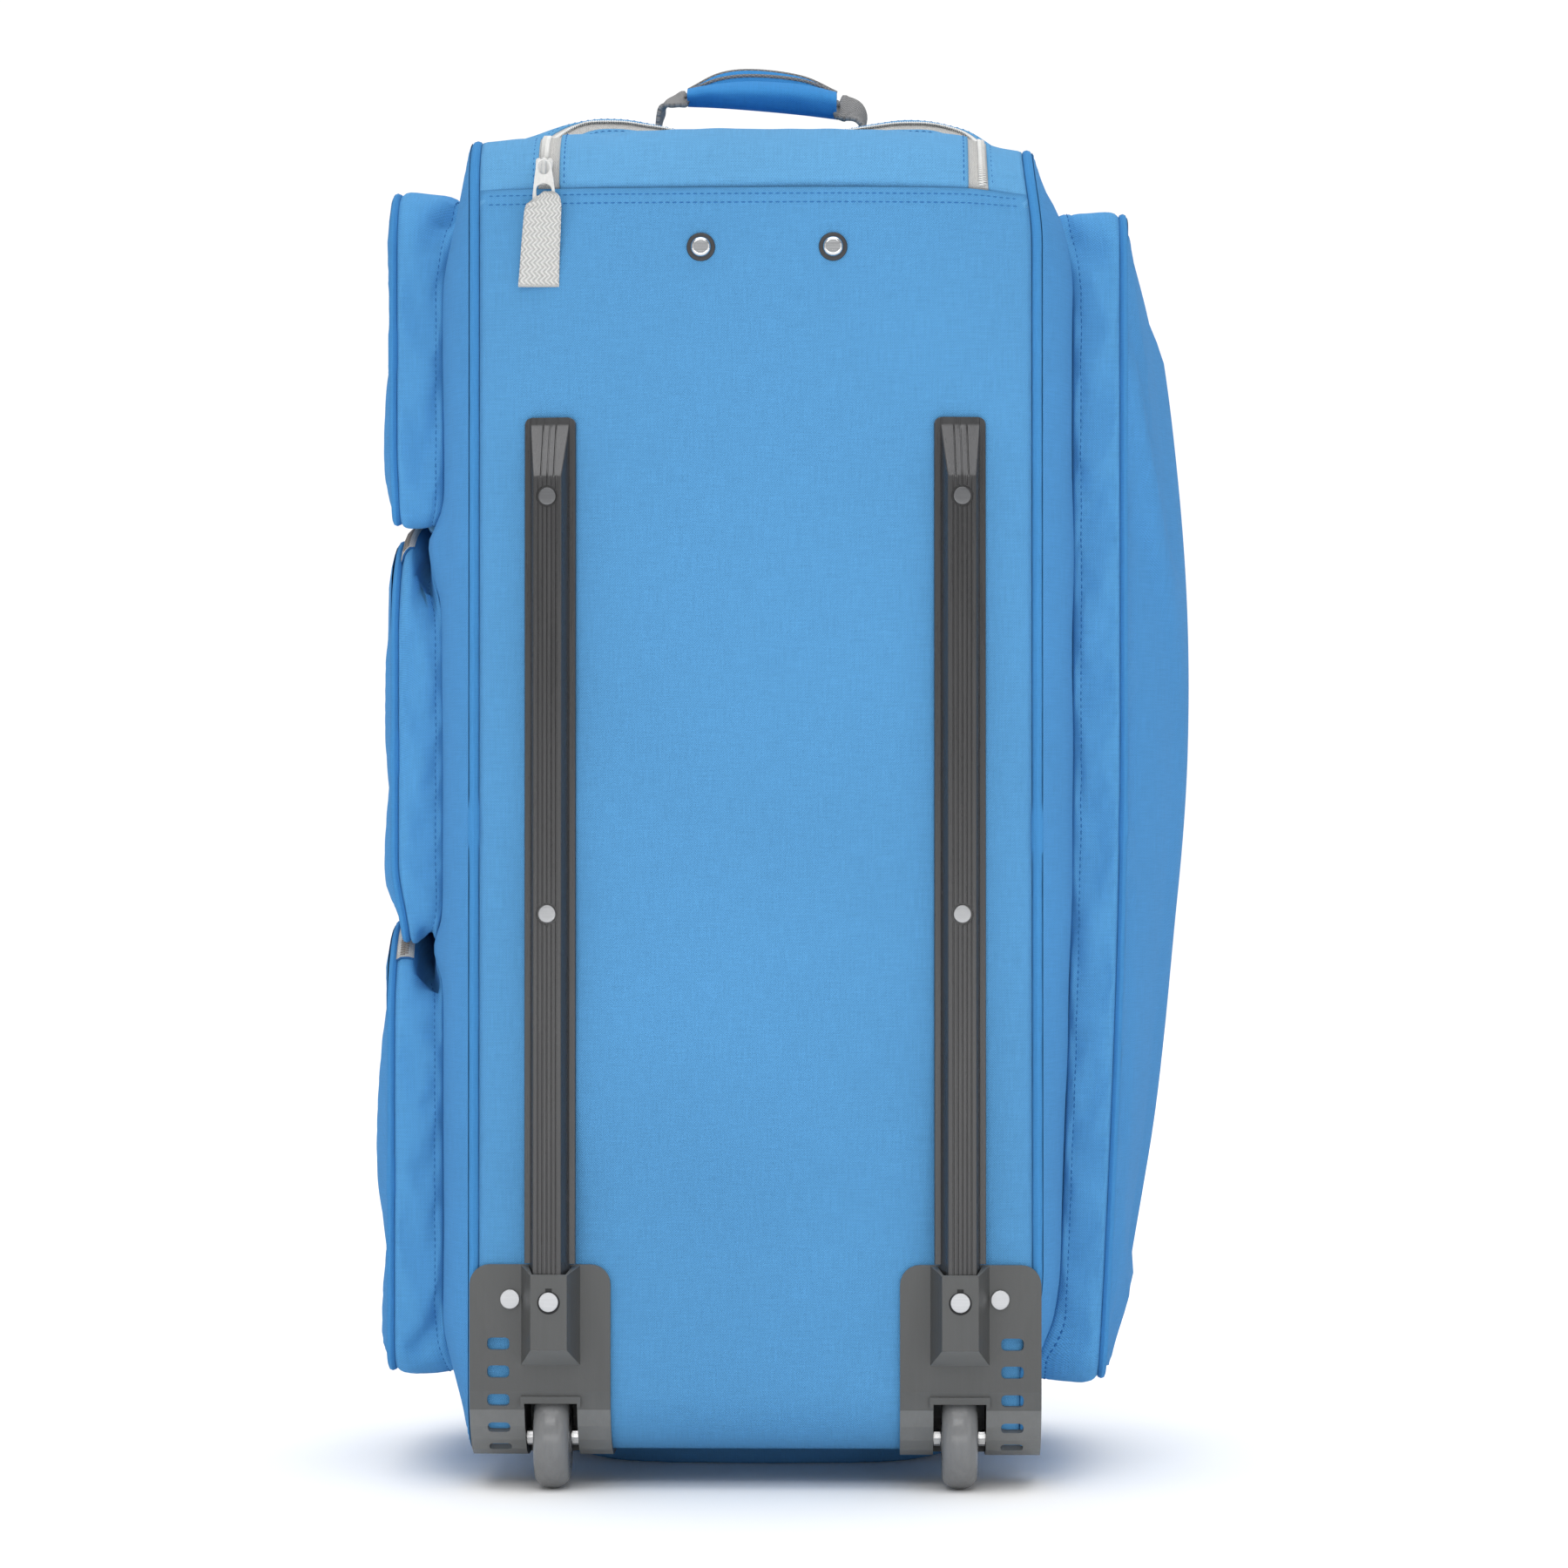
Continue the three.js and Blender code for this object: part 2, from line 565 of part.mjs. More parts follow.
function headZip() {
  const middle = FLAP.tape;
  const tape = cut(overlap(headSheet(-0.4, -1.6), flapCutter(GAP)), flapCutter(2 * FLAP.tape - GAP));
  const ridge = overlap(headSheet(FLAP.rise, -1), flapCutter(middle - FLAP.coil));
  const coil = cut(ridge, flapCutter(middle + FLAP.coil));
  return join(tape, coil);
}

// Rail: trapezoid on a flange, ramped at the head and necked where it enters its sleeve
function railGeometry() {
  const { flange, flangeH, foot, top, height, low, high, neckTop } = RAIL;
  const section = [[-flange, 0], [flange, 0], [flange, flangeH], [foot, flangeH + 0.6], [top, height],
    [-top, height], [-foot, flangeH + 0.6], [-flange, flangeH]];
  const shape = new THREE.Shape(section.map(([x, out]) => new THREE.Vector2(x, -out)));
  const bar = new THREE.ExtrudeGeometry(shape, { depth: high - low, bevelEnabled: false })
    .translate(0, 0, low);
  const outline = join(
    facingBlock(-flange, flange, neckTop, high, 4, -20, 1),
    box(-foot, foot, -20, 1, low, neckTop + 10));
  const slope = (height - RAIL_RAMP.end) / (RAIL_RAMP.to - RAIL_RAMP.from);
  const wedge = new THREE.ExtrudeGeometry(new THREE.Shape([
    new THREE.Vector2(RAIL_RAMP.from, -height),
    new THREE.Vector2(RAIL_RAMP.to, -height + slope * (RAIL_RAMP.to - RAIL_RAMP.from)),
    new THREE.Vector2(high + 5, -height + slope * (RAIL_RAMP.to - RAIL_RAMP.from)),
    new THREE.Vector2(high + 5, -height - 5),
    new THREE.Vector2(RAIL_RAMP.from, -height - 5),
  ]), { depth: 40, bevelEnabled: false }).translate(0, 0, -20).rotateY(-Math.PI / 2);
  const recesses = RAIL_RIVET_Z.map((z) => new THREE.CylinderGeometry(RIVET.recess, RIVET.recess, 4, 12)
    .translate(0, -height + RIVET.recessDeep - 2, z));
  return cut(overlap(bar, outline), wedge, ...recesses);
}

// Flat-topped rivet head
function rivetGeometry() {
  const { radius, height } = RIVET;
  return turnedFacing([
    { r: 0, h: 0 },
    { r: radius, h: 0 },
    { r: radius * 0.78, h: height },
    { r: 0, h: height },
  ], 8);
}

// Wheel housing with its outer side towards +X, centred on the rail
function housingGeometry(piping) {
  const { inner, outer, high, thick, cornerR, endY } = HOUSING;
  const axle = { y: WHEEL.axleY, z: WHEEL.radius };
  const outline = [
    ...straight({ y: endY, z: LOW }, { y: CORNER.baseLow, z: LOW }, 1, FACE.low, () => 0).slice(0, -1),
    ...bend(corner.baseLow, CORNER.baseLow, 270, 360, 6, () => 0),
    ...straight({ y: 0, z: high }, { y: 0, z: high }, 1, FACE.base, () => 0).slice(1),
  ];
  const at = (station, x, raise) => new THREE.Vector3(
    x, station.y + station.ny * raise, station.z + station.nz * raise);
  const sheetPlate = sheet(outline, [inner, outer], at, thick + GAP, GAP);
  const plate = overlap(sheetPlate, facingBlock(inner, outer, -30, high, cornerR, -60, 120));

  const bossRing = (half, low, top, y) => [
    [-half, low], [half, low], [half, top], [-half, top]].map(([x, z]) => new THREE.Vector3(x, y, z));
  const boss = loft([
    bossRing(BOSS.foot, BOSS.low, high, -thick * 0.5),
    bossRing(BOSS.top, BOSS.faceLow, BOSS.faceHigh, -BOSS.out),
  ]);
  const sleeve = loft([
    bossRing(SLEEVE.foot, SLEEVE.low, high + 20, -SLEEVE.from),
    bossRing(SLEEVE.top, SLEEVE.low, high + 20, -SLEEVE.to),
  ]);
  const lip = box(-WINDOW.half - 2, WINDOW.half + 2, -thick - GAP - WINDOW.lipRise, -1,
    WINDOW.high - 2, WINDOW.high + WINDOW.lip);

  const drum = (radius, half) => new THREE.CylinderGeometry(radius, radius, 2 * half, 14)
    .rotateZ(Math.PI / 2).translate(0, axle.y, axle.z);
  const within = new THREE.ExtrudeGeometry(new THREE.Shape([
    ...outline.map((s) => new THREE.Vector2(s.y + s.ny * (thick + GAP), s.z + s.nz * (thick + GAP))),
    new THREE.Vector2(endY, high),
  ]), { depth: 2 * (WINDOW.half + WELL.wall), bevelEnabled: false })
    .translate(0, 0, -WINDOW.half - WELL.wall)
    .applyMatrix4(new THREE.Matrix4().makeBasis(
      new THREE.Vector3(0, 1, 0), new THREE.Vector3(0, 0, 1), new THREE.Vector3(1, 0, 0)));
  const well = overlap(within, drum(WELL.inner + WELL.wall, WINDOW.half + WELL.wall));
  const hollow = join(
    drum(WELL.inner, WINDOW.half),
    box(-WINDOW.half, WINDOW.half, -40, axle.y, -20, WINDOW.high),
    box(-WINDOW.half, WINDOW.half, 0, axle.y + WELL.inner, -20, axle.z));
  const axleHole = new THREE.CylinderGeometry(AXLE.radius + 2 * GAP, AXLE.radius + 2 * GAP, 60, 8)
    .rotateZ(Math.PI / 2).translate(0, axle.y, axle.z);

  const slots = steps(0, SLOT.count - 1, SLOT.count - 1).map((n) => {
    const down = corner.baseLow.z - (SLOT.first - n * SLOT.pitch);
    const angle = Math.max(0, down) / CORNER.baseLow;
    const [halfX, halfZ] = [SLOT.length / 2, SLOT.width / 2];
    const hole = facingBlock(-halfX, halfX, -halfZ, halfZ, 2.2, -12, 12, 1);
    const reach = down > 0 ? CORNER.baseLow : 0;
    hole.translate(0, -reach, 0).rotateX(angle);
    return hole.translate(SLOT.x, reach, down > 0 ? corner.baseLow.z : SLOT.first - n * SLOT.pitch);
  });
  return cut(join(plate, boss, lip, well), sleeve, hollow, axleHole, piping, ...slots);
}

// Wheel and axle turned about X
function wheelGeometry() {
  const far = [...WHEEL_ROWS].reverse().map(({ r, x }) => ({ r, x: -x }));
  return turned([...WHEEL_ROWS, ...far, WHEEL_ROWS[0]], 18);
}

function axleGeometry() {
  const { radius, end, collar, collarFrom, collarTo } = AXLE;
  const half = [
    { r: 0, x: end },
    { r: radius, x: end },
    { r: radius, x: collarTo },
    { r: collar, x: collarTo },
    { r: collar, x: collarFrom },
    { r: radius, x: collarFrom },
  ];
  return turned([...half, ...[...half].reverse().map(({ r, x }) => ({ r, x: -x }))], 8);
}

// Handle path over the handle end, seen along Y: flat tabs, risers and a low arch
function headHeight(x) {
  return HEAD + GAP + HEAD_CROWN * swell(x);
}

function handlePath() {
  const { x, foot, tab, rise, thick } = HANDLE;
  const seat = GAP + thick / 2;
  const half = [
    { out: foot + tab, up: seat },
    { out: foot + 8, up: seat },
    { out: foot + 1, up: seat + 3 },
    { out: foot - 3, up: seat + 11 },
    { out: foot - 9, up: seat + 20 },
    { out: foot - 18, up: seat + 26 },
    { out: foot - 34, up: seat + rise - 3 },
  ];
  const side = (sign) => half.map(({ out, up }) => {
    const at = x + sign * out;
    return new THREE.Vector2(at, headHeight(at) + up);
  });
  return [...side(-1), new THREE.Vector2(x, headHeight(x) + seat + rise), ...side(1).reverse()];
}

function pathStations(path) {
  return path.map((p, i) => {
    const before = path[Math.max(0, i - 1)];
    const after = path[Math.min(path.length - 1, i + 1)];
    const along = after.clone().sub(before).normalize();
    return { x: p.x, z: p.y, nx: -along.y, nz: along.x };
  });
}

function handleStrap() {
  const half = HANDLE.width / 2;
  return sheet(pathStations(handlePath()), [-half, half], (s, across, raise) => new THREE.Vector3(
    s.x + s.nx * raise, HANDLE.y + across, s.z + s.nz * raise), HANDLE.thick / 2, -HANDLE.thick / 2);
}

function handleGrip() {
  const stations = pathStations(handlePath()).filter((s) => Math.abs(s.x - HANDLE.x) < GRIP.half);
  const [a, b] = [stations[0], stations[stations.length - 1]];
  const round = (s, taper) => steps(0, 360, 12).slice(0, -1).map((deg) => {
    const angle = THREE.MathUtils.degToRad(deg);
    const up = taper * Math.sin(angle) * (Math.sin(angle) > 0 ? GRIP.up : GRIP.down);
    const y = HANDLE.y + taper * Math.cos(angle) * GRIP.wide;
    return new THREE.Vector3(s.x + s.nx * up, y, s.z + s.nz * up);
  });
  const sleeve = loft([round(a, 0.86), ...stations.slice(1, -1).map((s) => round(s, 1)), round(b, 0.86)]);
  const half = HANDLE.width / 2 + GAP;
  const thick = HANDLE.thick / 2 + GAP;
  const strap = sheet(pathStations(handlePath()), [-half, half], (s, across, raise) => new THREE.Vector3(
    s.x + s.nx * raise, HANDLE.y + across, s.z + s.nz * raise), thick, -thick);
  return cut(sleeve, strap);
}

// Slider body with the bridge that carries the pull
function sliderGeometry() {
  const { half, thick, length, bridge } = SLIDER;
  return join(
    roundedBlock(-half, half, -thick, 0, 1.1, -length / 2, length / 2, 3),
    box(-1.3, 1.3, -thick - bridge, -thick + 0.2, -1.2, 1.2));
}

// Flat pull hanging from its upper end, with a round eye over the bridge and a slot for the tab
function pullGeometry() {
  const { half, length, thick, bar, slotHigh } = PULL;
  const shape = roundedShape(-half, half, -length, 0, 3.2);
  const eye = new THREE.Path().absarc(0, -6.4, half - 1.6, 0, Math.PI * 2, true);
  const hole = new THREE.Path([[-1, bar], [-1, slotHigh], [1, slotHigh], [1, bar]]
    .map(([side, up]) => new THREE.Vector2(side * (half - 1.4), up - length)));
  shape.holes.push(eye, hole);
  return new THREE.ExtrudeGeometry(shape, { depth: thick, bevelEnabled: false, curveSegments: 3 })
    .rotateX(Math.PI / 2)
    .translate(0, thick / 2, 0);
}

// Webbing tab folded round the lower bar of the pull: gathered at the fold, full width below it
function tabGeometry() {
  const layer = PULL.thick / 2 + 2 * GAP + TAB.thick / 2;
  const fold = PULL.bar / 2 + 3 * GAP + TAB.thick / 2;
  const front = [
    { out: layer, up: -TAB.length, half: TAB.half },
    { out: layer, up: -11, half: TAB.half },
    { out: layer, up: -5, half: TAB.half * 0.7 },
    { out: layer, up: 0, half: TAB.gather },
    { out: layer * 0.72, up: fold * 0.8, half: TAB.gather },
  ];
  const back = [...front].reverse().map((row) => ({ ...row, out: -row.out }));
  const rows = [...front, { out: 0, up: fold, half: TAB.gather }, ...back];
  const stations = pathStations(rows.map(({ out, up }) => new THREE.Vector2(-out, up)))
    .map((station, i) => ({ ...station, half: rows[i].half }));
  return sheet(stations, [-1, 1], (s, share, raise) => new THREE.Vector3(
    share * s.half, s.x + s.nx * raise, s.z + s.nz * raise), TAB.thick / 2, -TAB.thick / 2);
}

// Assembly
const bag = new THREE.Group();
bag.name = 'wheeled_duffel_bag';
const frame = new THREE.Group();
bag.add(frame);

function add(name, geometry, colour, roughness = 0.85, metalness = 0) {
  const material = new THREE.MeshStandardMaterial({ color: colour, roughness, metalness });
  const mesh = new THREE.Mesh(geometry, material);
  mesh.name = name;
  frame.add(mesh);
  return mesh;
}

// Base strip with openings for the two wheel wells
const wellCut = (x) => box(
  x - WINDOW.half - WELL.wall - 0.5, x + WINDOW.half + WELL.wall + 0.5,
  -10, WHEEL.axleY + WELL.inner + WELL.wall + 0.6,
  LOW - 10, WHEEL.radius + WELL.inner + WELL.wall + 0.6);
const baseSheet = sheet(baseStations, acrossStrip, stripPoint, 0, -WALL);
add('base_panel', cut(baseSheet, wellCut(-RAIL_X), wellCut(RAIL_X)), BLUE);
add('wheel_end_panel', sheet(wheelEndStations, acrossStrip, stripPoint, 0, -WALL), BLUE);

// Hidden top: two halves and a plain zip between them
const topAcross = acrossStrip.filter((x) => x > MAIN_ZIP.tape + GAP);
const topRight = [MAIN_ZIP.tape + GAP, ...topAcross];
const topLeft = topRight.map((x) => -x).reverse();
add('top_panel_left', sheet(topStations, topLeft, stripPoint, 0, -WALL), BLUE);
add('top_panel_right', sheet(topStations, topRight, stripPoint, 0, -WALL), BLUE);
add('main_zip', join(
  sheet(topStations, [-MAIN_ZIP.tape, 0, MAIN_ZIP.tape], stripPoint, -0.4, -1.8),
  sheet(topStations, [-MAIN_ZIP.coil, 0, MAIN_ZIP.coil], stripPoint, MAIN_ZIP.rise, -1)), GREY_TAPE);

// Handle end
add('head_end_panel', cut(headSheet(0, -WALL), flapCutter(0)), BLUE);
add('head_flap', overlap(headSheet(1, 1 - WALL), flapCutter(2 * FLAP.tape)), BLUE);
add('head_zip', headZip(), GREY_TAPE);

// Sides and their piping
const bodyPiping = (side, radius) => pipingLoop(seamLoop(PIPING_INSET), () => side * SEAM_X, radius, 6);
for (const [word, side] of [['left', -1], ['right', 1]]) {
  add(`side_panel_${word}`, sidePanel(side), BLUE);
  add(`body_piping_${word}`, bodyPiping(side, PIPING_R), BLUE);
}

// Pockets
for (const pocket of POCKETS) {
  add(`${pocket.name}_gusset`, pocketGusset(pocket), BLUE);
  add(`${pocket.name}_piping`, pocketPiping(pocket), BLUE);
  add(`${pocket.name}_front`, pocketFront(pocket), BLUE);
  if (pocket.shoulder > 0) add(`${pocket.name}_zip`, pocketZip(pocket), GREY_TAPE);
}

// Running gear
for (const [word, side] of [['left', -1], ['right', 1]]) {
  const rail = add(`rail_${word}`, railGeometry(), DARK_PLASTIC, 0.6);
  rail.position.set(side * RAIL_X, -RAIL_OUT, 0);
  rail.rotation.z = side * RAIL_TILT;
  RAIL_RIVET_Z.forEach((z, i) => {
    const place = i === 0 ? 'lower' : 'upper';
    const rivet = add(`rail_rivet_${word}_${place}`, rivetGeometry(), STEEL, 0.35, 0.9);
    const out = RAIL.height - RIVET.recessDeep + GAP;
    const x = side * (RAIL_X + out * Math.sin(RAIL_TILT));
    rivet.position.set(x, -RAIL_OUT - out * Math.cos(RAIL_TILT), z);
    rivet.rotation.z = side * RAIL_TILT;
  });
  const groove = bodyPiping(1, PIPING_R + GAP).translate(-RAIL_X, 0, 0);
  const housing = add(`wheel_housing_${word}`, housingGeometry(groove), HOUSING_PLASTIC, 0.55);
  housing.scale.x = side;
  housing.position.x = side * RAIL_X;
  HOUSING_RIVETS.forEach(({ x, z, out }, i) => {
    const place = i === 0 ? 'inner' : 'outer';
    const rivet = add(`housing_rivet_${word}_${place}`, rivetGeometry(), STEEL, 0.35, 0.9);
    rivet.position.set(side * (RAIL_X + x), -out - GAP, z);
  });
  const axle = add(`axle_${word}`, axleGeometry(), STEEL, 0.3, 0.9);
  axle.position.set(side * RAIL_X, WHEEL.axleY, WHEEL.radius);
  const wheel = add(`wheel_${word}`, wheelGeometry(), DARK_PLASTIC, 0.4);
  wheel.position.set(side * RAIL_X, WHEEL.axleY, WHEEL.radius);
}

// Studs near the handle end
STUD.xs.forEach((x, i) => {
  const word = i === 0 ? 'left' : 'right';
  const y = -BASE_BULGE * facetSwell(x) - 2 * GAP;
  const washer = add(`stud_washer_${word}`, turnedFacing([
    { r: 0, h: 0 }, { r: STUD.washer, h: 0 },
    { r: STUD.washer - 0.6, h: STUD.washerH }, { r: 0, h: STUD.washerH },
  ], 14), 0x3c3c3e, 0.5);
  washer.position.set(x, y, STUD.z);
  const cap = add(`stud_cap_${word}`, turnedFacing([
    { r: 0, h: 0 }, { r: STUD.cap, h: 0 }, { r: STUD.cap, h: STUD.capH * 0.3 },
    { r: STUD.cap * 0.8, h: STUD.capH * 0.75 }, { r: 0, h: STUD.capH },
  ], 12), STEEL, 0.2, 1);
  cap.position.set(x, y - STUD.washerH - GAP, STUD.z);
});

// Grab handle
add('handle_strap', handleStrap(), GREY_TAPE);
add('handle_grip', handleGrip(), BLUE);

// Zip slider, pull and tab
const [sliderSeat] = headBend(SLIDER.deg, 1);
const sliderX = FLAP.centreX - FLAP.halfX;
const slider = add('zip_slider', sliderGeometry(), ENAMEL, 0.35, 0.3);
slider.position.copy(headPoint(sliderSeat, sliderX, FLAP.rise + 3 * GAP));
slider.rotation.x = -THREE.MathUtils.degToRad(SLIDER.deg);
const pull = add('zip_pull', pullGeometry(), ENAMEL, 0.35, 0.3);
pull.position.set(sliderX, -PULL.out, PULL.high);
pull.rotation.x = THREE.MathUtils.degToRad(PULL.lean);
const tab = add('pull_tab', tabGeometry(), GREY_TAPE);
const barDown = PULL.length - PULL.bar / 2;
const barY = -PULL.out + barDown * Math.sin(pull.rotation.x);
tab.position.set(sliderX, barY, PULL.high - barDown * Math.cos(pull.rotation.x));
tab.rotation.y = THREE.MathUtils.degToRad(TAB.tilt);

// The bag's box stands on the floor with its middle over the origin
frame.updateMatrixWorld(true);
const bounds = new THREE.Box3().setFromObject(frame, true);
frame.position.set(-(bounds.min.x + bounds.max.x) / 2, -(bounds.min.y + bounds.max.y) / 2, 0);

export default bag;
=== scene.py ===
import math

import bpy
import numpy as np
from mathutils import Euler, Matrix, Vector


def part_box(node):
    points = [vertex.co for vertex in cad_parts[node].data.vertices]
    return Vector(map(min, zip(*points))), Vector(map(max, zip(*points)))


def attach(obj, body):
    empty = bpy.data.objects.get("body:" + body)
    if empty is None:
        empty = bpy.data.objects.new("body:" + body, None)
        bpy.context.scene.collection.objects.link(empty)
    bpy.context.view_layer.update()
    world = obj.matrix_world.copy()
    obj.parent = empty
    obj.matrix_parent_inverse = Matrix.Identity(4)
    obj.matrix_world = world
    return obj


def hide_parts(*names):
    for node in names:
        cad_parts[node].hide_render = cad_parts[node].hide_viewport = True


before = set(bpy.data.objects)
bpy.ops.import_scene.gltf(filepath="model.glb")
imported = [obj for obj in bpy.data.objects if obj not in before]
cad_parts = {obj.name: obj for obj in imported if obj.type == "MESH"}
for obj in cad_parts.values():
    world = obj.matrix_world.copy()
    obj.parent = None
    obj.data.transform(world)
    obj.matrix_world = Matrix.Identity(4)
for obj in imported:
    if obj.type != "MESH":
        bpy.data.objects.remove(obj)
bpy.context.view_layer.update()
scene = bpy.context.scene


# Tables of sizes
def table(columns, *rows):
    """Rows of values under named columns."""
    return [dict(zip(columns.split(), row)) for row in rows]


# The bag's own sizes in millimetres: X across, Y into the bag from its base, Z up from the floor
DEPTH = 330
LOW = 20
HEAD = 751
SEAM_X = 156
STRIP_X = 152.9
SIDE_X = 159.1
SIDE_FLAT_X = 177.5
CORNER_BASE_LOW = 36
CORNER_BASE_HEAD = 30
CORNER_TOP = 40
BASE_HIGH = 721
BASE_END_Y = 66
BASE_BULGE = 11
HEAD_CROWN = 14
HEAD_BROW = 6
TOP_BULGE = 16
WHEEL_END_SAG = 27
HUMPS = table("x up reach", (-97, 11, 43), (0, -3, 40), (97, 10.5, 38))
POCKET_NEAR = 56
POCKET_FAR = 272
POCKET_CORNER = 9
POCKET_STEP = 5
POCKETS = table(
    "name side low high low_r high_r edge bulge shoulder tuck draw lap fill zip",
    ("pocket_left_upper", -1, 541, 729, 10, 32.5, 27, 3, 0, 8, 1.5, 626, 0, 0),
    ("pocket_left_middle", -1, 303.5, 540.5, 14, 60, 26, 6, 9, 17, 6, 397, 0, 19),
    ("pocket_left_lower", -1, 61, 312, 16.5, 58, 28, 6, 0, 0, 0, 157, 0, 26),
    ("pocket_right", 1, 57, 714.5, 20.5, 19.5, 27, 38, 0, 0, 0, 359, 4.5, 0))
SIDE_PUFFS = table("z reach out", (514, 17, 7), (531, 11, 6), (299, 15, 6))
SIDES = (("left", -1), ("right", 1))
CLOTH_THICK = 1.4
SEAM_GAP = 0.3
BODY_CORD = dict(inset=1.6, radius=3.05, laps={-1: 358, 1: 354})
POCKET_CORD = dict(inset=0.2, radius=2.4, out=2.3)
WELL = dict(half=17.1, high=62.4)
ZIP_HALF = 9
FLAP = dict(x=4.9, half=121.7, deep=70, corner=22, tape=6.5, outer=3.0, inner=15)
RAIL_X = 113
RAIL_TILT = math.radians(6.5)
RAIL = dict(low=106, neck=127, high=594, flange=14.3, flange_h=2.2, foot=11, top=7.8, height=11,
            ramp=561, ramp_end=590, ramp_h=2.6, corner=4)
RAIL_GROOVES = table(
    "x flat ramp",
    (-5, 0.5, 0), (-3.6, 0, 0.8), (-2.5, 0.5, 0), (0, 0.5, 0.3), (2.5, 0.5, 0), (3.6, 0, 0.8), (5, 0.5, 0))
RAIL_RIVETS = table("name z", ("lower", 320), ("upper", 550))
RAIL_HEAD = dict(radius=4.9, high=1.5, edge=0.5)
RECESS = dict(radius=6.2, deep=1.2)
HOUSING_RIVETS = table("name x z out", ("inner", 0, 107, 20.5), ("outer", 22.5, 107, 3.6))
HOUSING_HEAD = dict(radius=5.4, high=1.5, edge=0.4)
WHEEL = dict(radius=28.5, half=10, crown=9.5, bore=3.5, hub=8, axle_y=18.4)
STUD_XS = (-29.8, 43.2)
STUD_Z = 688
STUD_WASHER = dict(radius=7.9, high=1.4, edge=0.9)
STUD_DOME = (
    (0.01, 2.5), (2.6, 2.45), (3.3, 2.6), (4.2, 2.5), (5.0, 2.0), (5.6, 1.1), (5.8, 0.2), (5.8, -0.5))
HANDLE = dict(y=150, width=30, thick=2.4)
HANDLE_ROWS = table(
    "x z turn wide",
    (-88, 764.2, 0, 1), (-71, 765.4, 0, 1), (-63.5, 768.6, 0, 1), (-61, 776, 0, 1), (-60.2, 783, 0, 1),
    (-58.4, 788.4, 0, 1), (-55.2, 791.8, -14, 1), (-50, 793.7, -19, 1), (-45.2, 795.0, -24, 0.97),
    (-43.7, 795.3, -11, 0.68), (-41.5, 795.7, 0, 0.5), (-3, 796.5, 0, 0.5), (41.5, 791.0, 0, 0.5),
    (43.8, 790.4, -14, 0.68), (45.2, 790.0, -33, 0.97), (48, 789.1, -33, 1), (52.6, 787.2, -32, 1),
    (55.8, 784, -22, 1), (57.8, 780, -8, 1), (59.6, 774.5, 0, 1), (62.5, 768.2, 0, 1), (69.5, 765.2, 0, 1),
    (86, 764.4, 0, 1))
GRIP_ROWS = table(
    "x top bottom rim inner",
    (-43.5, 800.4, 790.2, 801.8, 800.6), (-24.8, 803.4, 789.6, 811.0, 807.8),
    (-3.7, 804.6, 788.1, 812.9, 809.6), (23.5, 802.6, 785.4, 808.9, 806.7),
    (43.7, 798.2, 782.6, 799.8, 799.0))
SLIDER = dict(x=-116.7, deg=18, thick=2.4)
PULL = dict(high=736.5, out=14.6, lean=math.radians(8), thick=1.5)
TAB_ROWS = table(
    "z half out x",
    (719.0, 3.4, 11.2, -116.0), (718.6, 4.6, 13.0, -115.8), (717.2, 6.8, 14.2, -115.6),
    (714.6, 8.8, 14.6, -116.0), (711.0, 9.9, 14.2, -116.6), (706.0, 10.3, 13.4, -117.1),
    (690.0, 10.7, 10.8, -118.3), (676.0, 11.0, 9.2, -119.1), (667.5, 11.3, 8.6, -119.6))
TAB_THICK = 2.2
CAMERA = dict(sensor=36, lens=107.9, place=(69.9, -2600, 365.3), up=0.58, turn=1.19)

base_lo, base_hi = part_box("base_panel")
SHIFT = np.array([(base_lo.x + base_hi.x) * 500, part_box("side_panel_left")[0].y * 1000, 0.0])


# Small tools for numbers
def smooth(start, stop, value):
    """Soft step, from 0 at the start to 1 at the stop."""
    t = np.clip((np.asarray(value, float) - start) / (stop - start), 0, 1)
    return t * t * (3 - 2 * t)


def lerp(a, b, t):
    return a + (b - a) * t


def unit(vectors):
    return vectors / np.maximum(np.linalg.norm(vectors, axis=-1, keepdims=True), 1e-9)


def waves(u, v, size, seed, count=8):
    """Soft irregular swells about zero, of about the given size."""
    rng = np.random.default_rng(seed)
    total = 0
    for angle, stretch, phase in rng.uniform((0, 0.6, 0), (math.pi, 1.7, 2 * math.pi), (count, 3)):
        along = u * math.cos(angle) + v * math.sin(angle)
        total = total + np.sin(2 * math.pi * along / (size * stretch) + phase)
    return total / math.sqrt(count)


def lengths(path):
    """Distance run along a path at each of its points."""
    steps = np.linalg.norm(np.diff(path, axis=0), axis=1)
    return np.concatenate([[0], np.cumsum(steps)])


def along_path(path, values, spots):
    """Values carried by the points of a path, at distances along it."""
    run = lengths(path)
    return np.stack([np.interp(spots, run, column) for column in values.T], axis=1)


def curve_through(points, per=8, closed=False):
    """Smooth curve through the given points."""
    points = np.asarray(points, float)
    if closed:
        ends = np.concatenate([points[-1:], points, points[:2]])
    else:
        ends = np.concatenate([2 * points[:1] - points[1:2], points, 2 * points[-1:] - points[-2:-1]])
    t = np.arange(per)[:, None] / per
    parts = []
    for a, b, c, d in zip(ends, ends[1:], ends[2:], ends[3:]):
        parts.append(b + 0.5 * t * (c - a + t * (2 * a - 5 * b + 4 * c - d + t * (3 * (b - c) + d - a))))
    return np.concatenate(parts if closed else [*parts, points[-1:]])


def smooth_columns(rows, per):
    """Columns of a table, led smoothly from row to row."""
    return curve_through([list(row.values()) for row in rows], per).T


def stacked(*parts):
    """Points or texture places from their parts, each spread over the whole grid."""
    return np.stack(np.broadcast_arrays(*parts), axis=-1)


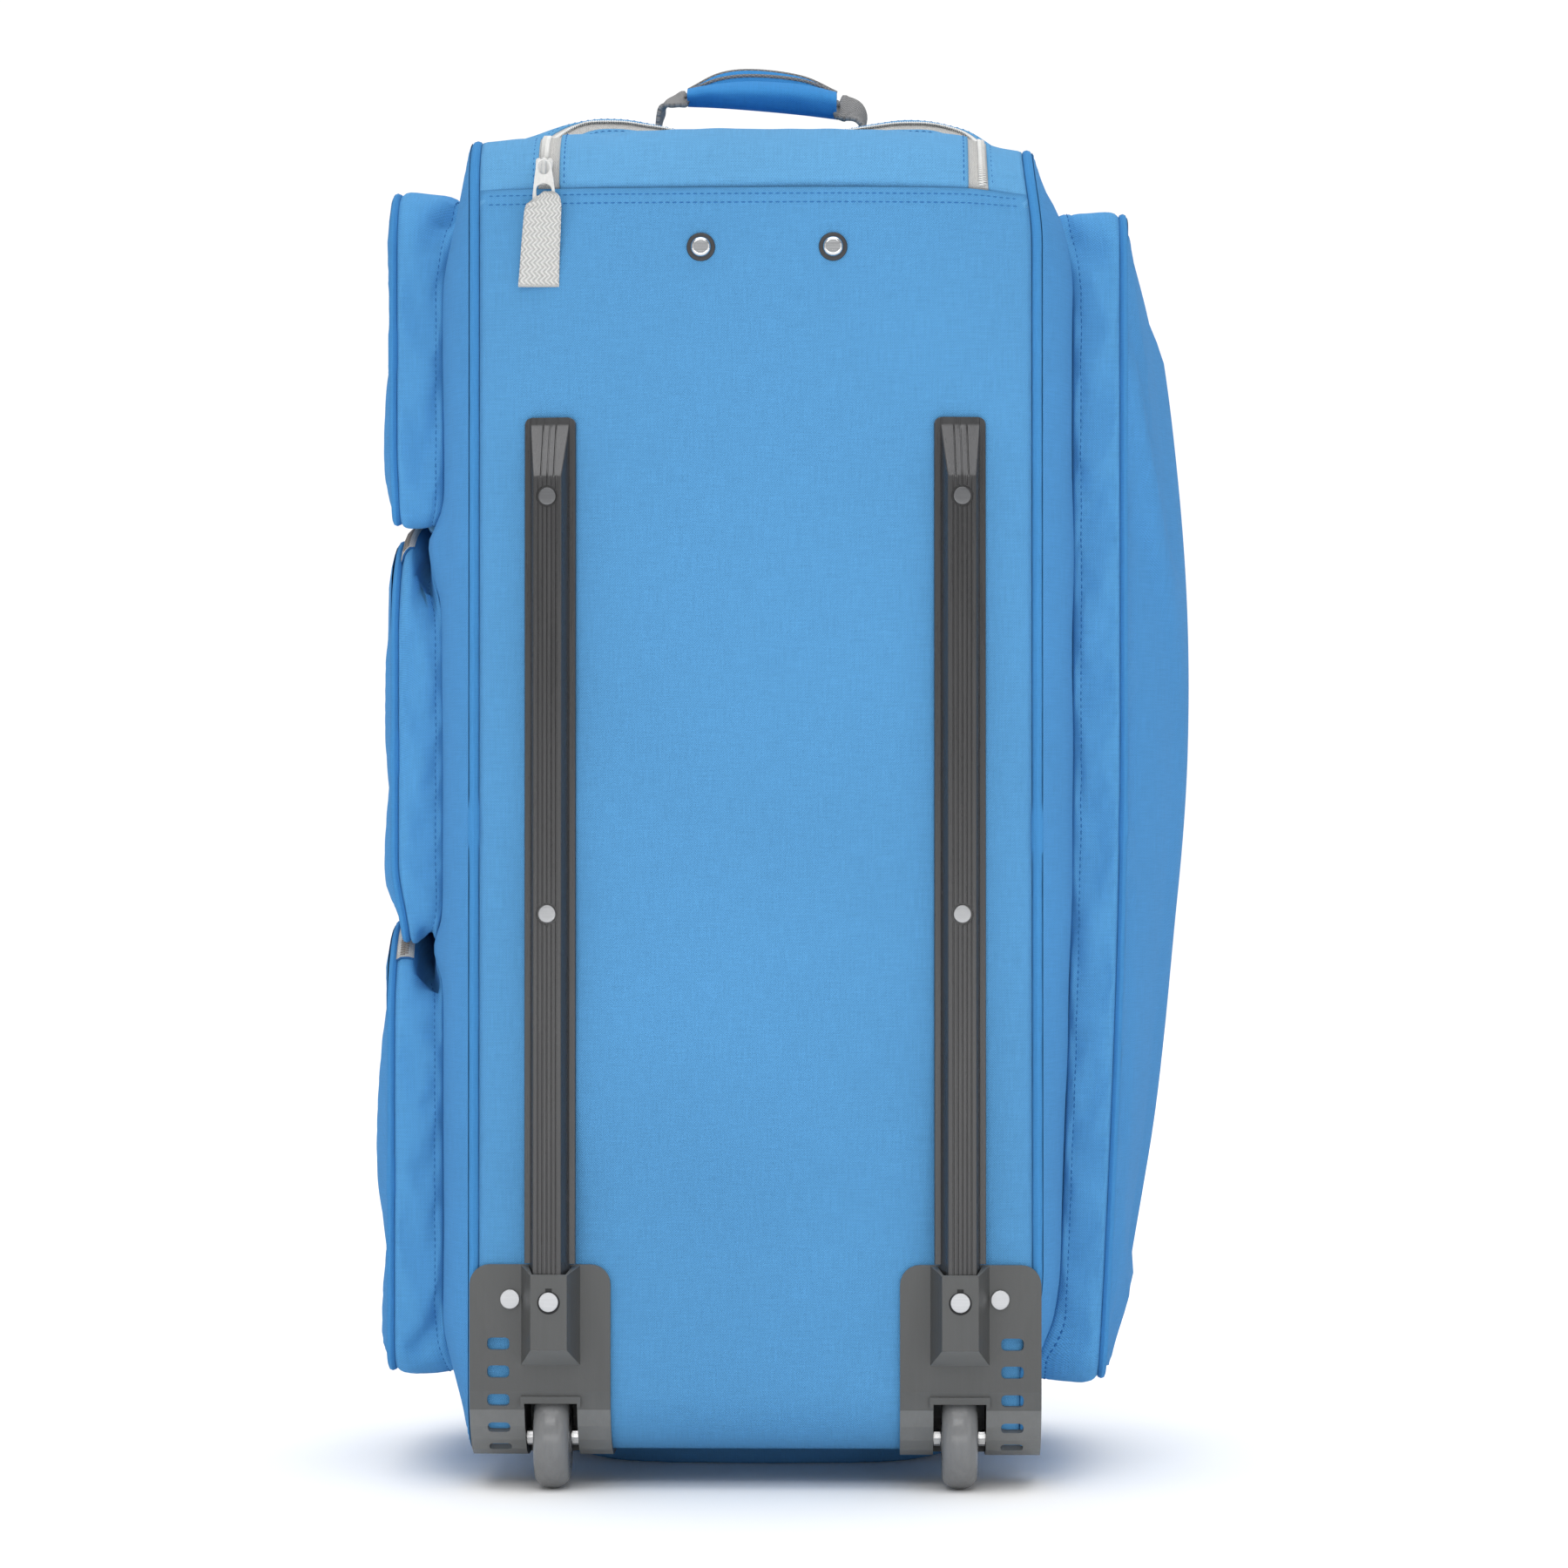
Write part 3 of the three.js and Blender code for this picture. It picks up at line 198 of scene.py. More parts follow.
def path_frames(path, tangents, normals, spots):
    """Places at distances along a path, with the directions ahead, up and across there."""
    at, ahead, up = (along_path(path, values, spots) for values in (path, tangents, normals))
    ahead, up = unit(ahead), unit(up)
    return at, ahead, up, np.cross(ahead, up)


# Meshes gathered in millimetres
class Stack:
    """Points, faces and places on the cloth, added form by form."""

    def __init__(self):
        self.points = []
        self.faces = []
        self.uv = []
        self.count = 0

    def add(self, points, faces, uv=None):
        points = np.asarray(points, float).reshape(-1, 3)
        self.points.append(points)
        self.uv.append(np.zeros((len(points), 2)) if uv is None else np.asarray(uv, float).reshape(-1, 2))
        self.faces.extend((np.asarray(face) + self.count).tolist() for face in faces)
        self.count += len(points)
        return self

    def grid(self, points, uv=None, wrap=False, flip=False):
        rows, cols = points.shape[:2]
        return self.add(points, grid_faces(rows, cols, wrap, flip), uv)


def grid_faces(rows, cols, wrap=False, flip=False):
    index = np.arange(rows * cols).reshape(rows, cols)
    if wrap:
        index = np.concatenate([index, index[:, :1]], axis=1)
    corners = [index[:-1, :-1], index[:-1, 1:], index[1:, 1:], index[1:, :-1]]
    quads = np.stack(corners, axis=-1).reshape(-1, 4)
    return quads[:, ::-1] if flip else quads


def grid_normals(points):
    """Directions that stand upright on a grid of points."""
    down, across = np.gradient(points, axis=0), np.gradient(points, axis=1)
    return unit(np.cross(down, across))


def tube(stack, path, radius, around=8, up=(0.0, 0.0, 1.0)):
    """A round bar or binding along a path."""
    ahead = unit(np.gradient(path, axis=0))
    aside = unit(np.cross(ahead, np.asarray(up)))
    over = np.cross(aside, ahead)
    angles = np.linspace(0, 2 * math.pi, around + 1)
    fat = np.broadcast_to(radius, len(path))[:, None, None]
    rows = path[:, None] + fat * (
        aside[:, None] * np.cos(angles)[:, None] + over[:, None] * np.sin(angles)[:, None])
    run = lengths(path)
    uv = stacked(angles[None] * np.max(radius), run[:, None])
    stack.grid(rows, uv)
    for end in (0, -1):
        stack.add(rows[end, :-1], [np.arange(around)], uv[end, :-1])
    return stack


def turned(stack, rows, place, tilt=0.0, around=32):
    """A form turned about an axis that faces the viewer, from rows of radius and height."""
    angles = np.arange(around) * 2 * math.pi / around
    rows = np.array(rows, float)
    x, z = rows[:, :1] * np.cos(angles), rows[:, :1] * np.sin(angles)
    out = np.broadcast_to(rows[:, 1:], x.shape)
    points = np.stack([
        x * math.cos(tilt) + out * math.sin(tilt), x * math.sin(tilt) - out * math.cos(tilt), z], axis=-1)
    return stack.grid(points + np.asarray(place, float), wrap=True, flip=True)


def baked(obj):
    """What an object shows, taken over as points and faces; the object itself goes."""
    scene.collection.objects.link(obj)
    mesh = bpy.data.meshes.new_from_object(obj.evaluated_get(bpy.context.evaluated_depsgraph_get()))
    points = np.empty(len(mesh.vertices) * 3)
    mesh.vertices.foreach_get("co", points)
    faces = [list(face.vertices) for face in mesh.polygons]
    bpy.data.objects.remove(obj)
    bpy.data.meshes.remove(mesh)
    return Stack().add(points, faces)


def carved(stack, *tools):
    """A closed form with others cut out of it."""
    made = []
    for form in (stack, *tools):
        mesh = bpy.data.meshes.new("carving")
        mesh.from_pydata(np.concatenate(form.points).tolist(), [], form.faces)
        made.append(bpy.data.objects.new("carving", mesh))
    for tool in made[1:]:
        cut = made[0].modifiers.new("cut", "BOOLEAN")
        cut.operation = "DIFFERENCE"
        cut.solver = "EXACT"
        cut.object = tool
        scene.collection.objects.link(tool)
    left = baked(made[0])
    for tool in made[1:]:
        bpy.data.objects.remove(tool)
    return left


def plate(outlines, thick, edge, place, lean):
    """A flat round-edged plate that faces the viewer: a rim and its holes, given as x and height."""
    curve = bpy.data.curves.new("plate", "CURVE")
    curve.dimensions = "2D"
    curve.fill_mode = "BOTH"
    curve.extrude = thick / 2 - edge
    curve.bevel_depth = edge
    curve.bevel_resolution = 2
    curve.offset = -edge
    for outline in outlines:
        spline = curve.splines.new("POLY")
        spline.points.add(len(outline) - 1)
        corners = np.zeros((len(outline), 4))
        corners[:, :2] = outline
        spline.points.foreach_set("co", corners.ravel())
        spline.use_cyclic_u = True
    flat = baked(bpy.data.objects.new("plate", curve))
    x, up, out = np.concatenate(flat.points).T
    y, z = -out * math.cos(lean) - up * math.sin(lean), up * math.cos(lean) - out * math.sin(lean)
    return Stack().add(np.stack([x, y, z], axis=1) + np.asarray(place, float), flat.faces)


def slump(points):
    """The right side of the bag sinks in at its handle end and is drawn in behind the wheel housing."""
    x, z = points[:, 0], points[:, 2]
    high = smooth(690, HEAD, z) * smooth(112, 156, x) * smooth(175, 165, x)
    low = smooth(122, 60, z) * smooth(125, 158, x) * smooth(176, 166, x)
    return points - np.stack([5 * high + 7.5 * low, 0 * x, 6 * high], axis=1)


def piece(name, stack, material, nodes=(), body="bag", crease=None):
    """A shown piece of the bag, standing for the CAD nodes that it names."""
    mesh = bpy.data.meshes.new(name)
    points = (slump(np.concatenate(stack.points)) + SHIFT) / 1000
    mesh.from_pydata(points.tolist(), [], stack.faces)
    corners = np.empty(len(mesh.loops), np.int32)
    mesh.loops.foreach_get("vertex_index", corners)
    layer = mesh.uv_layers.new(name="cloth")
    layer.data.foreach_set("uv", (np.concatenate(stack.uv)[corners] / 1000).ravel())
    mesh.polygons.foreach_set("use_smooth", np.full(len(mesh.polygons), True))
    if crease:
        mesh.set_sharp_from_angle(angle=math.radians(crease))
    mesh.materials.append(material)
    mesh.update()
    obj = bpy.data.objects.new(name, mesh)
    scene.collection.objects.link(obj)
    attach(obj, body)
    if nodes:
        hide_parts(*nodes)
    return obj


def thicken(obj, thick, offset=-1):
    """Gives a sheet its thickness."""
    solid = obj.modifiers.new("thickness", "SOLIDIFY")
    solid.thickness = thick / 1000
    solid.offset = offset
    return obj


def soften(obj, width):
    """Rounds the sharp edges of a solid."""
    bevel = obj.modifiers.new("bevel", "BEVEL")
    bevel.width = width / 1000
    bevel.segments = 2
    bevel.limit_method = "ANGLE"
    bevel.angle_limit = math.radians(30)
    bevel.harden_normals = False


# Materials
def srgb(red, green, blue):
    def linear(value):
        value /= 255
        return value / 12.92 if value <= 0.04045 else ((value + 0.055) / 1.055) ** 2.4
    return (linear(red), linear(green), linear(blue), 1)


class Paint:
    """A procedural material, built node by node."""

    def __init__(self, name):
        self.material = bpy.data.materials.new(name)
        self.material.use_nodes = True
        self.tree = self.material.node_tree
        self.shader = self.tree.nodes["Principled BSDF"]

    def node(self, kind, inputs=None, **settings):
        made = self.tree.nodes.new(kind)
        for key, value in settings.items():
            setattr(made, key, value)
        for key, value in (inputs or {}).items():
            self.feed(made.inputs[key], value)
        return made

    def feed(self, socket, value):
        if isinstance(value, bpy.types.NodeSocket):
            self.tree.links.new(value, socket)
        else:
            socket.default_value = value

    def set(self, **values):
        for key, value in values.items():
            self.feed(self.shader.inputs[key.replace("_", " ")], value)
        return self

    def maths(self, operation, a, b=0.0):
        return self.node("ShaderNodeMath", {0: a, 1: b}, operation=operation).outputs[0]

    def scaled(self, coordinates, size):
        return self.node("ShaderNodeVectorMath", {0: coordinates, 1: size}, operation="MULTIPLY").outputs[0]

    def noise(self, coordinates, scale, detail=3.0, rough=0.55):
        inputs = {"Vector": coordinates, "Scale": scale, "Detail": detail, "Roughness": rough}
        return self.node("ShaderNodeTexNoise", inputs).outputs[0]

    def band(self, value, low, high, to_low, to_high):
        inputs = {0: value, 1: low, 2: high, 3: to_low, 4: to_high}
        return self.node("ShaderNodeMapRange", inputs).outputs[0]

    def shade(self, colour, amount):
        """A colour made lighter or darker by a factor."""
        grey = self.node("ShaderNodeCombineColor", {0: amount, 1: amount, 2: amount}).outputs[0]
        inputs = {0: 1.0, 6: colour, 7: grey}
        return self.node("ShaderNodeMix", inputs, data_type="RGBA", blend_type="MULTIPLY").outputs[2]

    def bump(self, height, distance, strength=1.0):
        inputs = {"Height": height, "Distance": distance, "Strength": strength}
        return self.node("ShaderNodeBump", inputs).outputs[0]

    def parts(self, vector):
        return self.node("ShaderNodeSeparateXYZ", {0: vector}).outputs

    def uv(self):
        return self.node("ShaderNodeUVMap", uv_map="cloth").outputs[0]

    def spot(self):
        return self.node("ShaderNodeTexCoord").outputs["Object"]


def cloth_paint(name, colour, pitch=1.35, sheen=0.02, rough=0.75):
    """Plain oxford cloth: crossing threads with slubs, a soft sheen and slow changes of tone."""
    paint = Paint(name)
    uv = paint.uv()
    turns = 2000 * math.pi / pitch
    across, along = paint.parts(paint.scaled(uv, (turns, turns, 0)))[:2]
    weave = paint.maths("MULTIPLY", paint.maths("SINE", across), paint.maths("SINE", along))
    weft = paint.noise(paint.scaled(uv, (60, 1500, 0)), 1.0, 2.0)
    warp = paint.noise(paint.scaled(uv, (1500, 60, 0)), 1.0, 2.0)
    threads = paint.maths("ADD", weft, warp)
    tone = paint.noise(paint.spot(), 7.0, 2.0)
    slubs = paint.band(threads, 0.6, 1.4, -0.1, 0.1)
    shade = paint.maths("ADD", paint.band(weave, -1, 1, 0.86, 1.14), slubs)
    shade = paint.maths("MULTIPLY", shade, paint.band(tone, 0.3, 0.7, 0.97, 1.03))
    height = paint.maths("ADD", weave, paint.maths("MULTIPLY", threads, 1.2))
    paint.set(Base_Color=paint.shade(colour, shade), Normal=paint.bump(height, 0.00012))
    paint.set(Roughness=paint.band(threads, 0.6, 1.4, rough - 0.06, rough + 0.06))
    paint.set(Sheen_Weight=sheen, Sheen_Roughness=0.45, Specular_IOR_Level=0.03)
    return paint.material


def webbing_paint(name, colour, rib=3.0, row=2.45, dark=0.68):
    """Herringbone webbing: rows of slanting ribs across the strap that turn about from row to row."""
    paint = Paint(name)
    across, along = paint.parts(paint.scaled(paint.uv(), (1000, 1000, 0)))[:2]
    slant = paint.maths("ADD", across, paint.maths("PINGPONG", along, row))
    ribs = paint.maths("SINE", paint.maths("MULTIPLY", slant, 2 * math.pi / rib))
    grain = paint.noise(paint.scaled(paint.uv(), (900, 500, 0)), 1.0, 3.0)
    fuzz = paint.band(grain, 0.3, 0.7, -0.06, 0.06)
    shade = paint.maths("ADD", paint.band(ribs, -1, 0.4, dark, 1.04), fuzz)
    height = paint.maths("ADD", ribs, grain)
    paint.set(Base_Color=paint.shade(colour, shade), Normal=paint.bump(height, 0.0003))
    paint.set(Roughness=paint.band(grain, 0.3, 0.7, 0.6, 0.72), Sheen_Weight=0.1, Specular_IOR_Level=0.25)
    return paint.material


def plastic_paint(name, colour, rough, grain=0.00006, wear=1.25, slope_light=1.0):
    """Moulded plastic: fine grain, faint scuffs along its length, rubbed edges, and painted light that
    makes faces sloping up or down paler.
    """
    paint = Paint(name)
    spot = paint.spot()
    fine = paint.noise(spot, 900.0, 2.0)
    scuffs = paint.noise(paint.scaled(spot, (260, 260, 14)), 1.0, 4.0, 0.7)
    form = paint.node("ShaderNodeNewGeometry").outputs
    rubbed = paint.band(form["Pointiness"], 0.5, 0.6, 1.0, wear)
    shade = paint.maths("MULTIPLY", paint.band(scuffs, 0.35, 0.7, 0.95, 1.08), rubbed)
    # painted light: faces that slope up or down are made paler, up to the slope factor, standing for the
    # lamp above and the floor's bounce below
    steep = paint.maths("ABSOLUTE", paint.parts(form["Normal"])[2])
    shade = paint.maths("MULTIPLY", shade, paint.band(steep, 0.1, 0.3, 1.0, slope_light))
    paint.set(Base_Color=paint.shade(colour, shade), Normal=paint.bump(fine, grain))
    paint.set(Roughness=paint.band(scuffs, 0.3, 0.7, rough - 0.06, rough + 0.06))
    return paint.material


def metal_paint(name, colour, rough, stretch=(40, 40, 1200), depth=0.00002):
    """Metal with a faint brushed or handled surface."""
    paint = Paint(name)
    brush = paint.noise(paint.scaled(paint.spot(), stretch), 1.0, 3.0)
    paint.set(Base_Color=paint.shade(colour, paint.band(brush, 0.3, 0.7, 0.9, 1.05)), Metallic=1.0)
    paint.set(Roughness=paint.band(brush, 0.3, 0.7, rough - 0.05, rough + 0.07))
    paint.set(Normal=paint.bump(brush, depth))
    return paint.material


def enamel_paint(name, colour):
    """Sprayed enamel over cast metal, with a slight orange peel."""
    paint = Paint(name)
    peel = paint.noise(paint.spot(), 420.0, 1.0)
    tone = paint.noise(paint.spot(), 160.0, 2.0)
    paint.set(Base_Color=paint.shade(colour, paint.band(tone, 0.3, 0.7, 0.95, 1.02)))
    paint.set(Roughness=paint.band(peel, 0.3, 0.7, 0.22, 0.34), Normal=paint.bump(peel, 0.00005))
    paint.set(Coat_Weight=0.3)
    return paint.material


BLUE = cloth_paint("blue_oxford", srgb(84, 145, 194))
# painted shade: a deeper, darker copy of the base cloth for the side panels and pocket fronts, standing for
# the shade on sides that turn away from the front
SHADED_SIDE_BLUE = cloth_paint("blue_oxford_side_painted_shade", srgb(76, 140, 196))
# painted light: a slightly paler copy of the base cloth for the pocket gussets, lifting the shade that
# falls on them between the pockets
LIT_GUSSET_BLUE = cloth_paint("blue_oxford_gusset_painted_light", srgb(84, 149, 201))
# painted light: a paler copy of the base cloth for the handle end, standing for the light from above on its
# top
LIT_HEAD_BLUE = cloth_paint("blue_oxford_head_painted_light", srgb(95, 155, 201))
PIPING_BLUE = cloth_paint("blue_piping_cloth", srgb(70, 138, 196), pitch=1.0)
GRIP_BLUE = cloth_paint("blue_grip_cloth", srgb(62, 136, 200))
THREAD = cloth_paint("blue_thread", srgb(56, 112, 168), pitch=0.5)
TAPE = webbing_paint("zip_tape_grey", srgb(214, 213, 210), rib=1.2, row=0.8, dark=0.85)
COIL = plastic_paint("zip_coil_grey", srgb(206, 206, 204), 0.42)
# painted shade: a darker brownish copy of the coil for the pocket zips, which lie in shadow under the
# pockets above
SHADED_COIL = plastic_paint("zip_coil_painted_shade", srgb(122, 115, 108), 0.5)
WEBBING = webbing_paint("grey_webbing", srgb(208, 208, 206), rib=2.6)
# darker than the tab webbing: partly the strap's own darker grey, partly painted shade for the strap lying
# in shade
HANDLE_WEBBING = webbing_paint("grey_handle_webbing", srgb(134, 134, 135), rib=2.4, row=1.8)
RAIL_PAINT = plastic_paint("rail_plastic", srgb(50, 50, 51), 0.29, slope_light=2.6)
HOUSING_PAINT = plastic_paint("housing_plastic", srgb(65, 66, 66), 0.42, slope_light=2.2)
WHEEL_PAINT = plastic_paint("wheel_plastic", srgb(113, 114, 115), 0.21, wear=1.1)
STEEL = metal_paint("rivet_steel", srgb(182, 183, 185), 0.42)
RAIL_STEEL = metal_paint("rail_rivet_steel", srgb(160, 161, 163), 0.42)
# painted shade: a darker copy of the rail rivet steel for the upper rivets, which sit darker in their
# recesses
SHADED_RAIL_STEEL = metal_paint("rail_rivet_steel_painted_shade", srgb(108, 109, 111), 0.4)
AXLE_PAINT = metal_paint("axle_steel", srgb(206, 206, 206), 0.28)
CHROME = metal_paint("stud_chrome", srgb(206, 208, 210), 0.14)
WASHER_PAINT = plastic_paint("stud_washer", srgb(44, 44, 46), 0.45)
SHADE_PAINT = plastic_paint("keyhole_shade", srgb(22, 22, 23), 0.7)
ENAMEL = enamel_paint("pull_enamel", srgb(204, 204, 202))


# Strips of cloth that run round the bag: rows of y, z, outward direction and swell
def swell(x):
    """Share of a strip's swell at a place across it: full in the middle, none at its seams."""
    return np.maximum(0, 1 - np.abs(np.asarray(x, float) / STRIP_X) ** 2.5)


def straight(a, b, facing, count, amount):
    t = np.linspace(0, 1, count + 1)
    y, z = lerp(a[0], b[0], t), lerp(a[1], b[1], t)
    return stacked(y, z, *facing, amount(y, z))


def bend(centre, radius, start, stop, count, amount):
    t = np.linspace(0, 1, count + 1)
    angle = np.radians(lerp(start, stop, t))
    ny, nz = -np.cos(angle), np.sin(angle)
    return stacked(centre[0] + radius * ny, centre[1] + radius * nz, ny, nz, amount(t))


def joined(*runs):
    return np.concatenate([runs[0], *[run[1:] for run in runs[1:]]])


def strip(stations, xs, lift=0.0):
    """Points of a strip: rows along it, columns across, lifted off its plain form."""
    y, z, ny, nz, amount = (column[:, None] for column in stations.T)
    out = amount * swell(xs)[None]
    room = np.where(nz < 0, z / np.maximum(-nz, 1e-6), np.inf)
    out = np.minimum(out, room) + lift
    return stacked(xs, y + ny * out, z + nz * out)


def strip_uv(stations, xs):
    run = lengths(stations[:, :2])
    return np.stack(np.meshgrid(xs, run), axis=-1)


def edge_puckers(xs, run, seed, depth=0.5):
    """Small gathers along both long seams of a strip."""
    away = STRIP_X - np.abs(xs)[None]
    beat = np.sin(2 * math.pi * run[:, None] / 13 + 2.5 * waves(run[:, None], xs[None] * 0, 90, seed))
    return depth * np.exp(-away / 9) * beat * smooth(0, 2, away)


# Base
def base_bulge(z):
    return BASE_BULGE * smooth(128, 246, z)


base_stations = joined(
    straight((BASE_END_Y, LOW), (CORNER_BASE_LOW, LOW), (0, -1), 8, lambda y, z: 0),
    bend((CORNER_BASE_LOW, LOW + CORNER_BASE_LOW), CORNER_BASE_LOW, 270, 360, 16, lambda t: 0),
    straight((0, LOW + CORNER_BASE_LOW), (0, BASE_HIGH), (-1, 0), 190, lambda y, z: base_bulge(z)))
base_xs = np.linspace(-STRIP_X, STRIP_X, 89)


def base_lift(x, z):
    """Soft unevenness of the base, with dimples at the studs and a slight sink beside the rails."""
    lift = 0.7 * waves(x, z, 190, 3) + 0.18 * waves(x, z, 55, 4)
    for stud in STUD_XS:
        reach = np.hypot(x - stud, (z - STUD_Z - 3) * 0.9)
        lift = lift - 0.9 * np.exp(-(reach / 15) ** 2)
    for side in (-1, 1):
        beside = np.exp(-((x - side * RAIL_X) / 24) ** 2)
        lift = lift - 1.1 * beside * smooth(100, 140, z) * smooth(640, 560, z)
    return lift * smooth(60, 130, z) * smooth(STRIP_X, STRIP_X - 25, np.abs(x))


base_run = lengths(base_stations[:, :2])
base_soft = base_lift(base_xs[None], base_stations[:, 1:2]) + edge_puckers(base_xs, base_run, 11)
base_form = strip(base_stations, base_xs, base_soft)
base_uv = strip_uv(base_stations, base_xs)


def well_distance(x, z):
    """Outside the openings for the wheel wells: positive."""
    aside = np.minimum(np.abs(x - RAIL_X), np.abs(x + RAIL_X)) - WELL["half"]
    return np.maximum(aside, z - WELL["high"])


def clipped(points, uv, field):
    """The part of a grid where a field is positive, cut cleanly along its edge."""
    flat, flat_uv, flat_field = points.reshape(-1, 3), uv.reshape(-1, 2), field.ravel()
    quads = grid_faces(*points.shape[:2])
    kept = flat_field[quads] > 0
    whole = quads[kept.all(axis=1)]
    new_points, new_uv, faces, seen = [], [], [], {}

    def crossing(a, b):
        key = (min(a, b), max(a, b))
        if key not in seen:
            t = flat_field[key[0]] / (flat_field[key[0]] - flat_field[key[1]])
            seen[key] = len(flat) + len(new_points)
            new_points.append(lerp(flat[key[0]], flat[key[1]], t))
            new_uv.append(lerp(flat_uv[key[0]], flat_uv[key[1]], t))
        return seen[key]

    for quad in quads[kept.any(axis=1) & ~kept.all(axis=1)]:
        face = []
        for a, b in zip(quad, np.roll(quad, -1)):
            if flat_field[a] > 0:
                face.append(int(a))
            if (flat_field[a] > 0) != (flat_field[b] > 0):
                face.append(crossing(int(a), int(b)))
        if len(face) > 2:
            faces.append(face)
    every = np.concatenate([flat, np.array(new_points).reshape(-1, 3)])
    every_uv = np.concatenate([flat_uv, np.array(new_uv).reshape(-1, 2)])
    faces = whole.tolist() + faces
    used = np.unique(np.concatenate([np.asarray(face) for face in faces]))
    place = np.full(len(every), -1)
    place[used] = np.arange(len(used))
    return every[used], [place[face].tolist() for face in faces], every_uv[used]


outside_wells = well_distance(base_form[..., 0], base_form[..., 2])
base_stack = Stack().add(*clipped(base_form, base_uv, outside_wells))
thicken(piece("base_cloth", base_stack, BLUE, ["base_panel"]), CLOTH_THICK)

# Wheel end and top
wheel_end_stations = joined(
    bend((DEPTH - CORNER_TOP, LOW + CORNER_TOP), CORNER_TOP, 180, 270, 14,
         lambda t: lerp(TOP_BULGE, WHEEL_END_SAG, t)),
    straight((DEPTH - CORNER_TOP, LOW), (BASE_END_Y + SEAM_GAP, LOW), (0, -1), 56,
             lambda y, z: WHEEL_END_SAG * smooth(BASE_END_Y, BASE_END_Y + 80, y)))
end_xs = np.linspace(-STRIP_X, STRIP_X, 73)
end_run = lengths(wheel_end_stations[:, :2])
end_form = strip(wheel_end_stations, end_xs, edge_puckers(end_xs, end_run, 12))
end_form[..., 2] = np.maximum(end_form[..., 2], 0.2)
wheel_end = Stack().grid(end_form, strip_uv(wheel_end_stations, end_xs))
piece("wheel_end_cloth", wheel_end, BLUE, ["wheel_end_panel"])

top_stations = straight((DEPTH, HEAD - CORNER_TOP), (DEPTH, LOW + CORNER_TOP + SEAM_GAP), (1, 0), 140,
                        lambda y, z: TOP_BULGE)
top_run = lengths(top_stations[:, :2])
inner = ZIP_HALF + SEAM_GAP
for word, side in SIDES:
    xs = np.sort(side * np.linspace(inner, STRIP_X, 42))
    lift = 1.4 * waves(xs[None], top_run[:, None], 120, 21) * smooth(inner, 40, np.abs(xs))[None]
    lift = lift * smooth(STRIP_X, STRIP_X - 30, np.abs(xs))[None] + edge_puckers(xs, top_run, 13)
    lift = lift * (smooth(0, 30, top_run) * smooth(top_run[-1], top_run[-1] - 30, top_run))[:, None]
    panel = Stack().grid(strip(top_stations, xs, lift), strip_uv(top_stations, xs))
    thicken(piece(f"top_cloth_{word}", panel, BLUE, [f"top_panel_{word}"]), CLOTH_THICK)


# Zips: a tape and two rows of coil that meet along its middle
def coil_rows(path, normals, reach=2.5, pitch=1.35, rise=0.9):
    """Ridges of a coil zip, set across a path in two rows that interlock."""
    stack = Stack()
    spots = np.arange(pitch, lengths(path)[-1] - pitch, pitch)
    tangents = unit(np.gradient(path, axis=0))
    for side in (-1, 1):
        here = spots + (pitch / 2 if side > 0 else 0)
        at, ahead, up, across = path_frames(path, tangents, normals, here)
        rows = []
        for share, lift, fat in ((-0.35, 0.1, 0.5), (0.1, rise, 0.8), (0.75, rise, 0.8), (1.0, 0.0, 0.6)):
            centre = at + across * (side * share * reach) + up * lift
            ring = [centre + ahead * (fat * 0.62 * math.cos(a)) + up * (fat * 0.75 * math.sin(a))
                    for a in np.arange(5) * 2 * math.pi / 5]
            rows.append(np.stack(ring, axis=1))
        for tooth in np.stack(rows, axis=1):
            stack.grid(tooth, wrap=True)
    return stack


zip_xs = np.linspace(-ZIP_HALF, ZIP_HALF, 9)
zip_tape = Stack().grid(strip(top_stations, zip_xs, -0.6), strip_uv(top_stations, zip_xs))
thicken(piece("main_zip_tape", zip_tape, TAPE, ["main_zip"]), 1.0)
zip_path = strip(top_stations, np.array([0.0]), -0.5)[:, 0]
main_coil = coil_rows(zip_path, np.tile([0.0, 1.0, 0.0], (len(zip_path), 1)), 3.0, 2.2, 1.0)
piece("main_zip_coil", main_coil, COIL)


# Handle end: one curved sheet parted into surround, zip tape and flap
def head_amount(y):
    return lerp(HEAD_BROW, HEAD_CROWN, smooth(52, 80, y))


LAP_ROWS = 3
BROW_ROWS = 24
lap_z, flat_y, flat_z = BASE_HIGH + SEAM_GAP, 130, HEAD + SEAM_GAP
head_stations = joined(
    straight((0, BASE_HIGH - 9), (0, lap_z), (-1, 0), LAP_ROWS, lambda y, z: BASE_BULGE - 3),
    bend((CORNER_BASE_HEAD, lap_z), CORNER_BASE_HEAD, 0, 90, BROW_ROWS,
         lambda t: lerp(BASE_BULGE, HEAD_BROW, t)),
    straight((CORNER_BASE_HEAD, flat_z), (flat_y, flat_z), (0, 1), 50, lambda y, z: head_amount(y)),
    straight((flat_y, flat_z), (DEPTH - CORNER_TOP, flat_z), (0, 1), 32, lambda y, z: HEAD_CROWN),
    bend((DEPTH - CORNER_TOP, HEAD - CORNER_TOP + SEAM_GAP), CORNER_TOP, 90, 180, 14,
         lambda t: lerp(HEAD_CROWN, TOP_BULGE, t)))
head_stations[LAP_ROWS: LAP_ROWS + 4, 4] -= np.array([3.0, 1.9, 0.9, 0.3])
head_xs = np.linspace(-STRIP_X, STRIP_X, 133)
head_run = lengths(head_stations[:, :2])
head_uv = strip_uv(head_stations, head_xs)


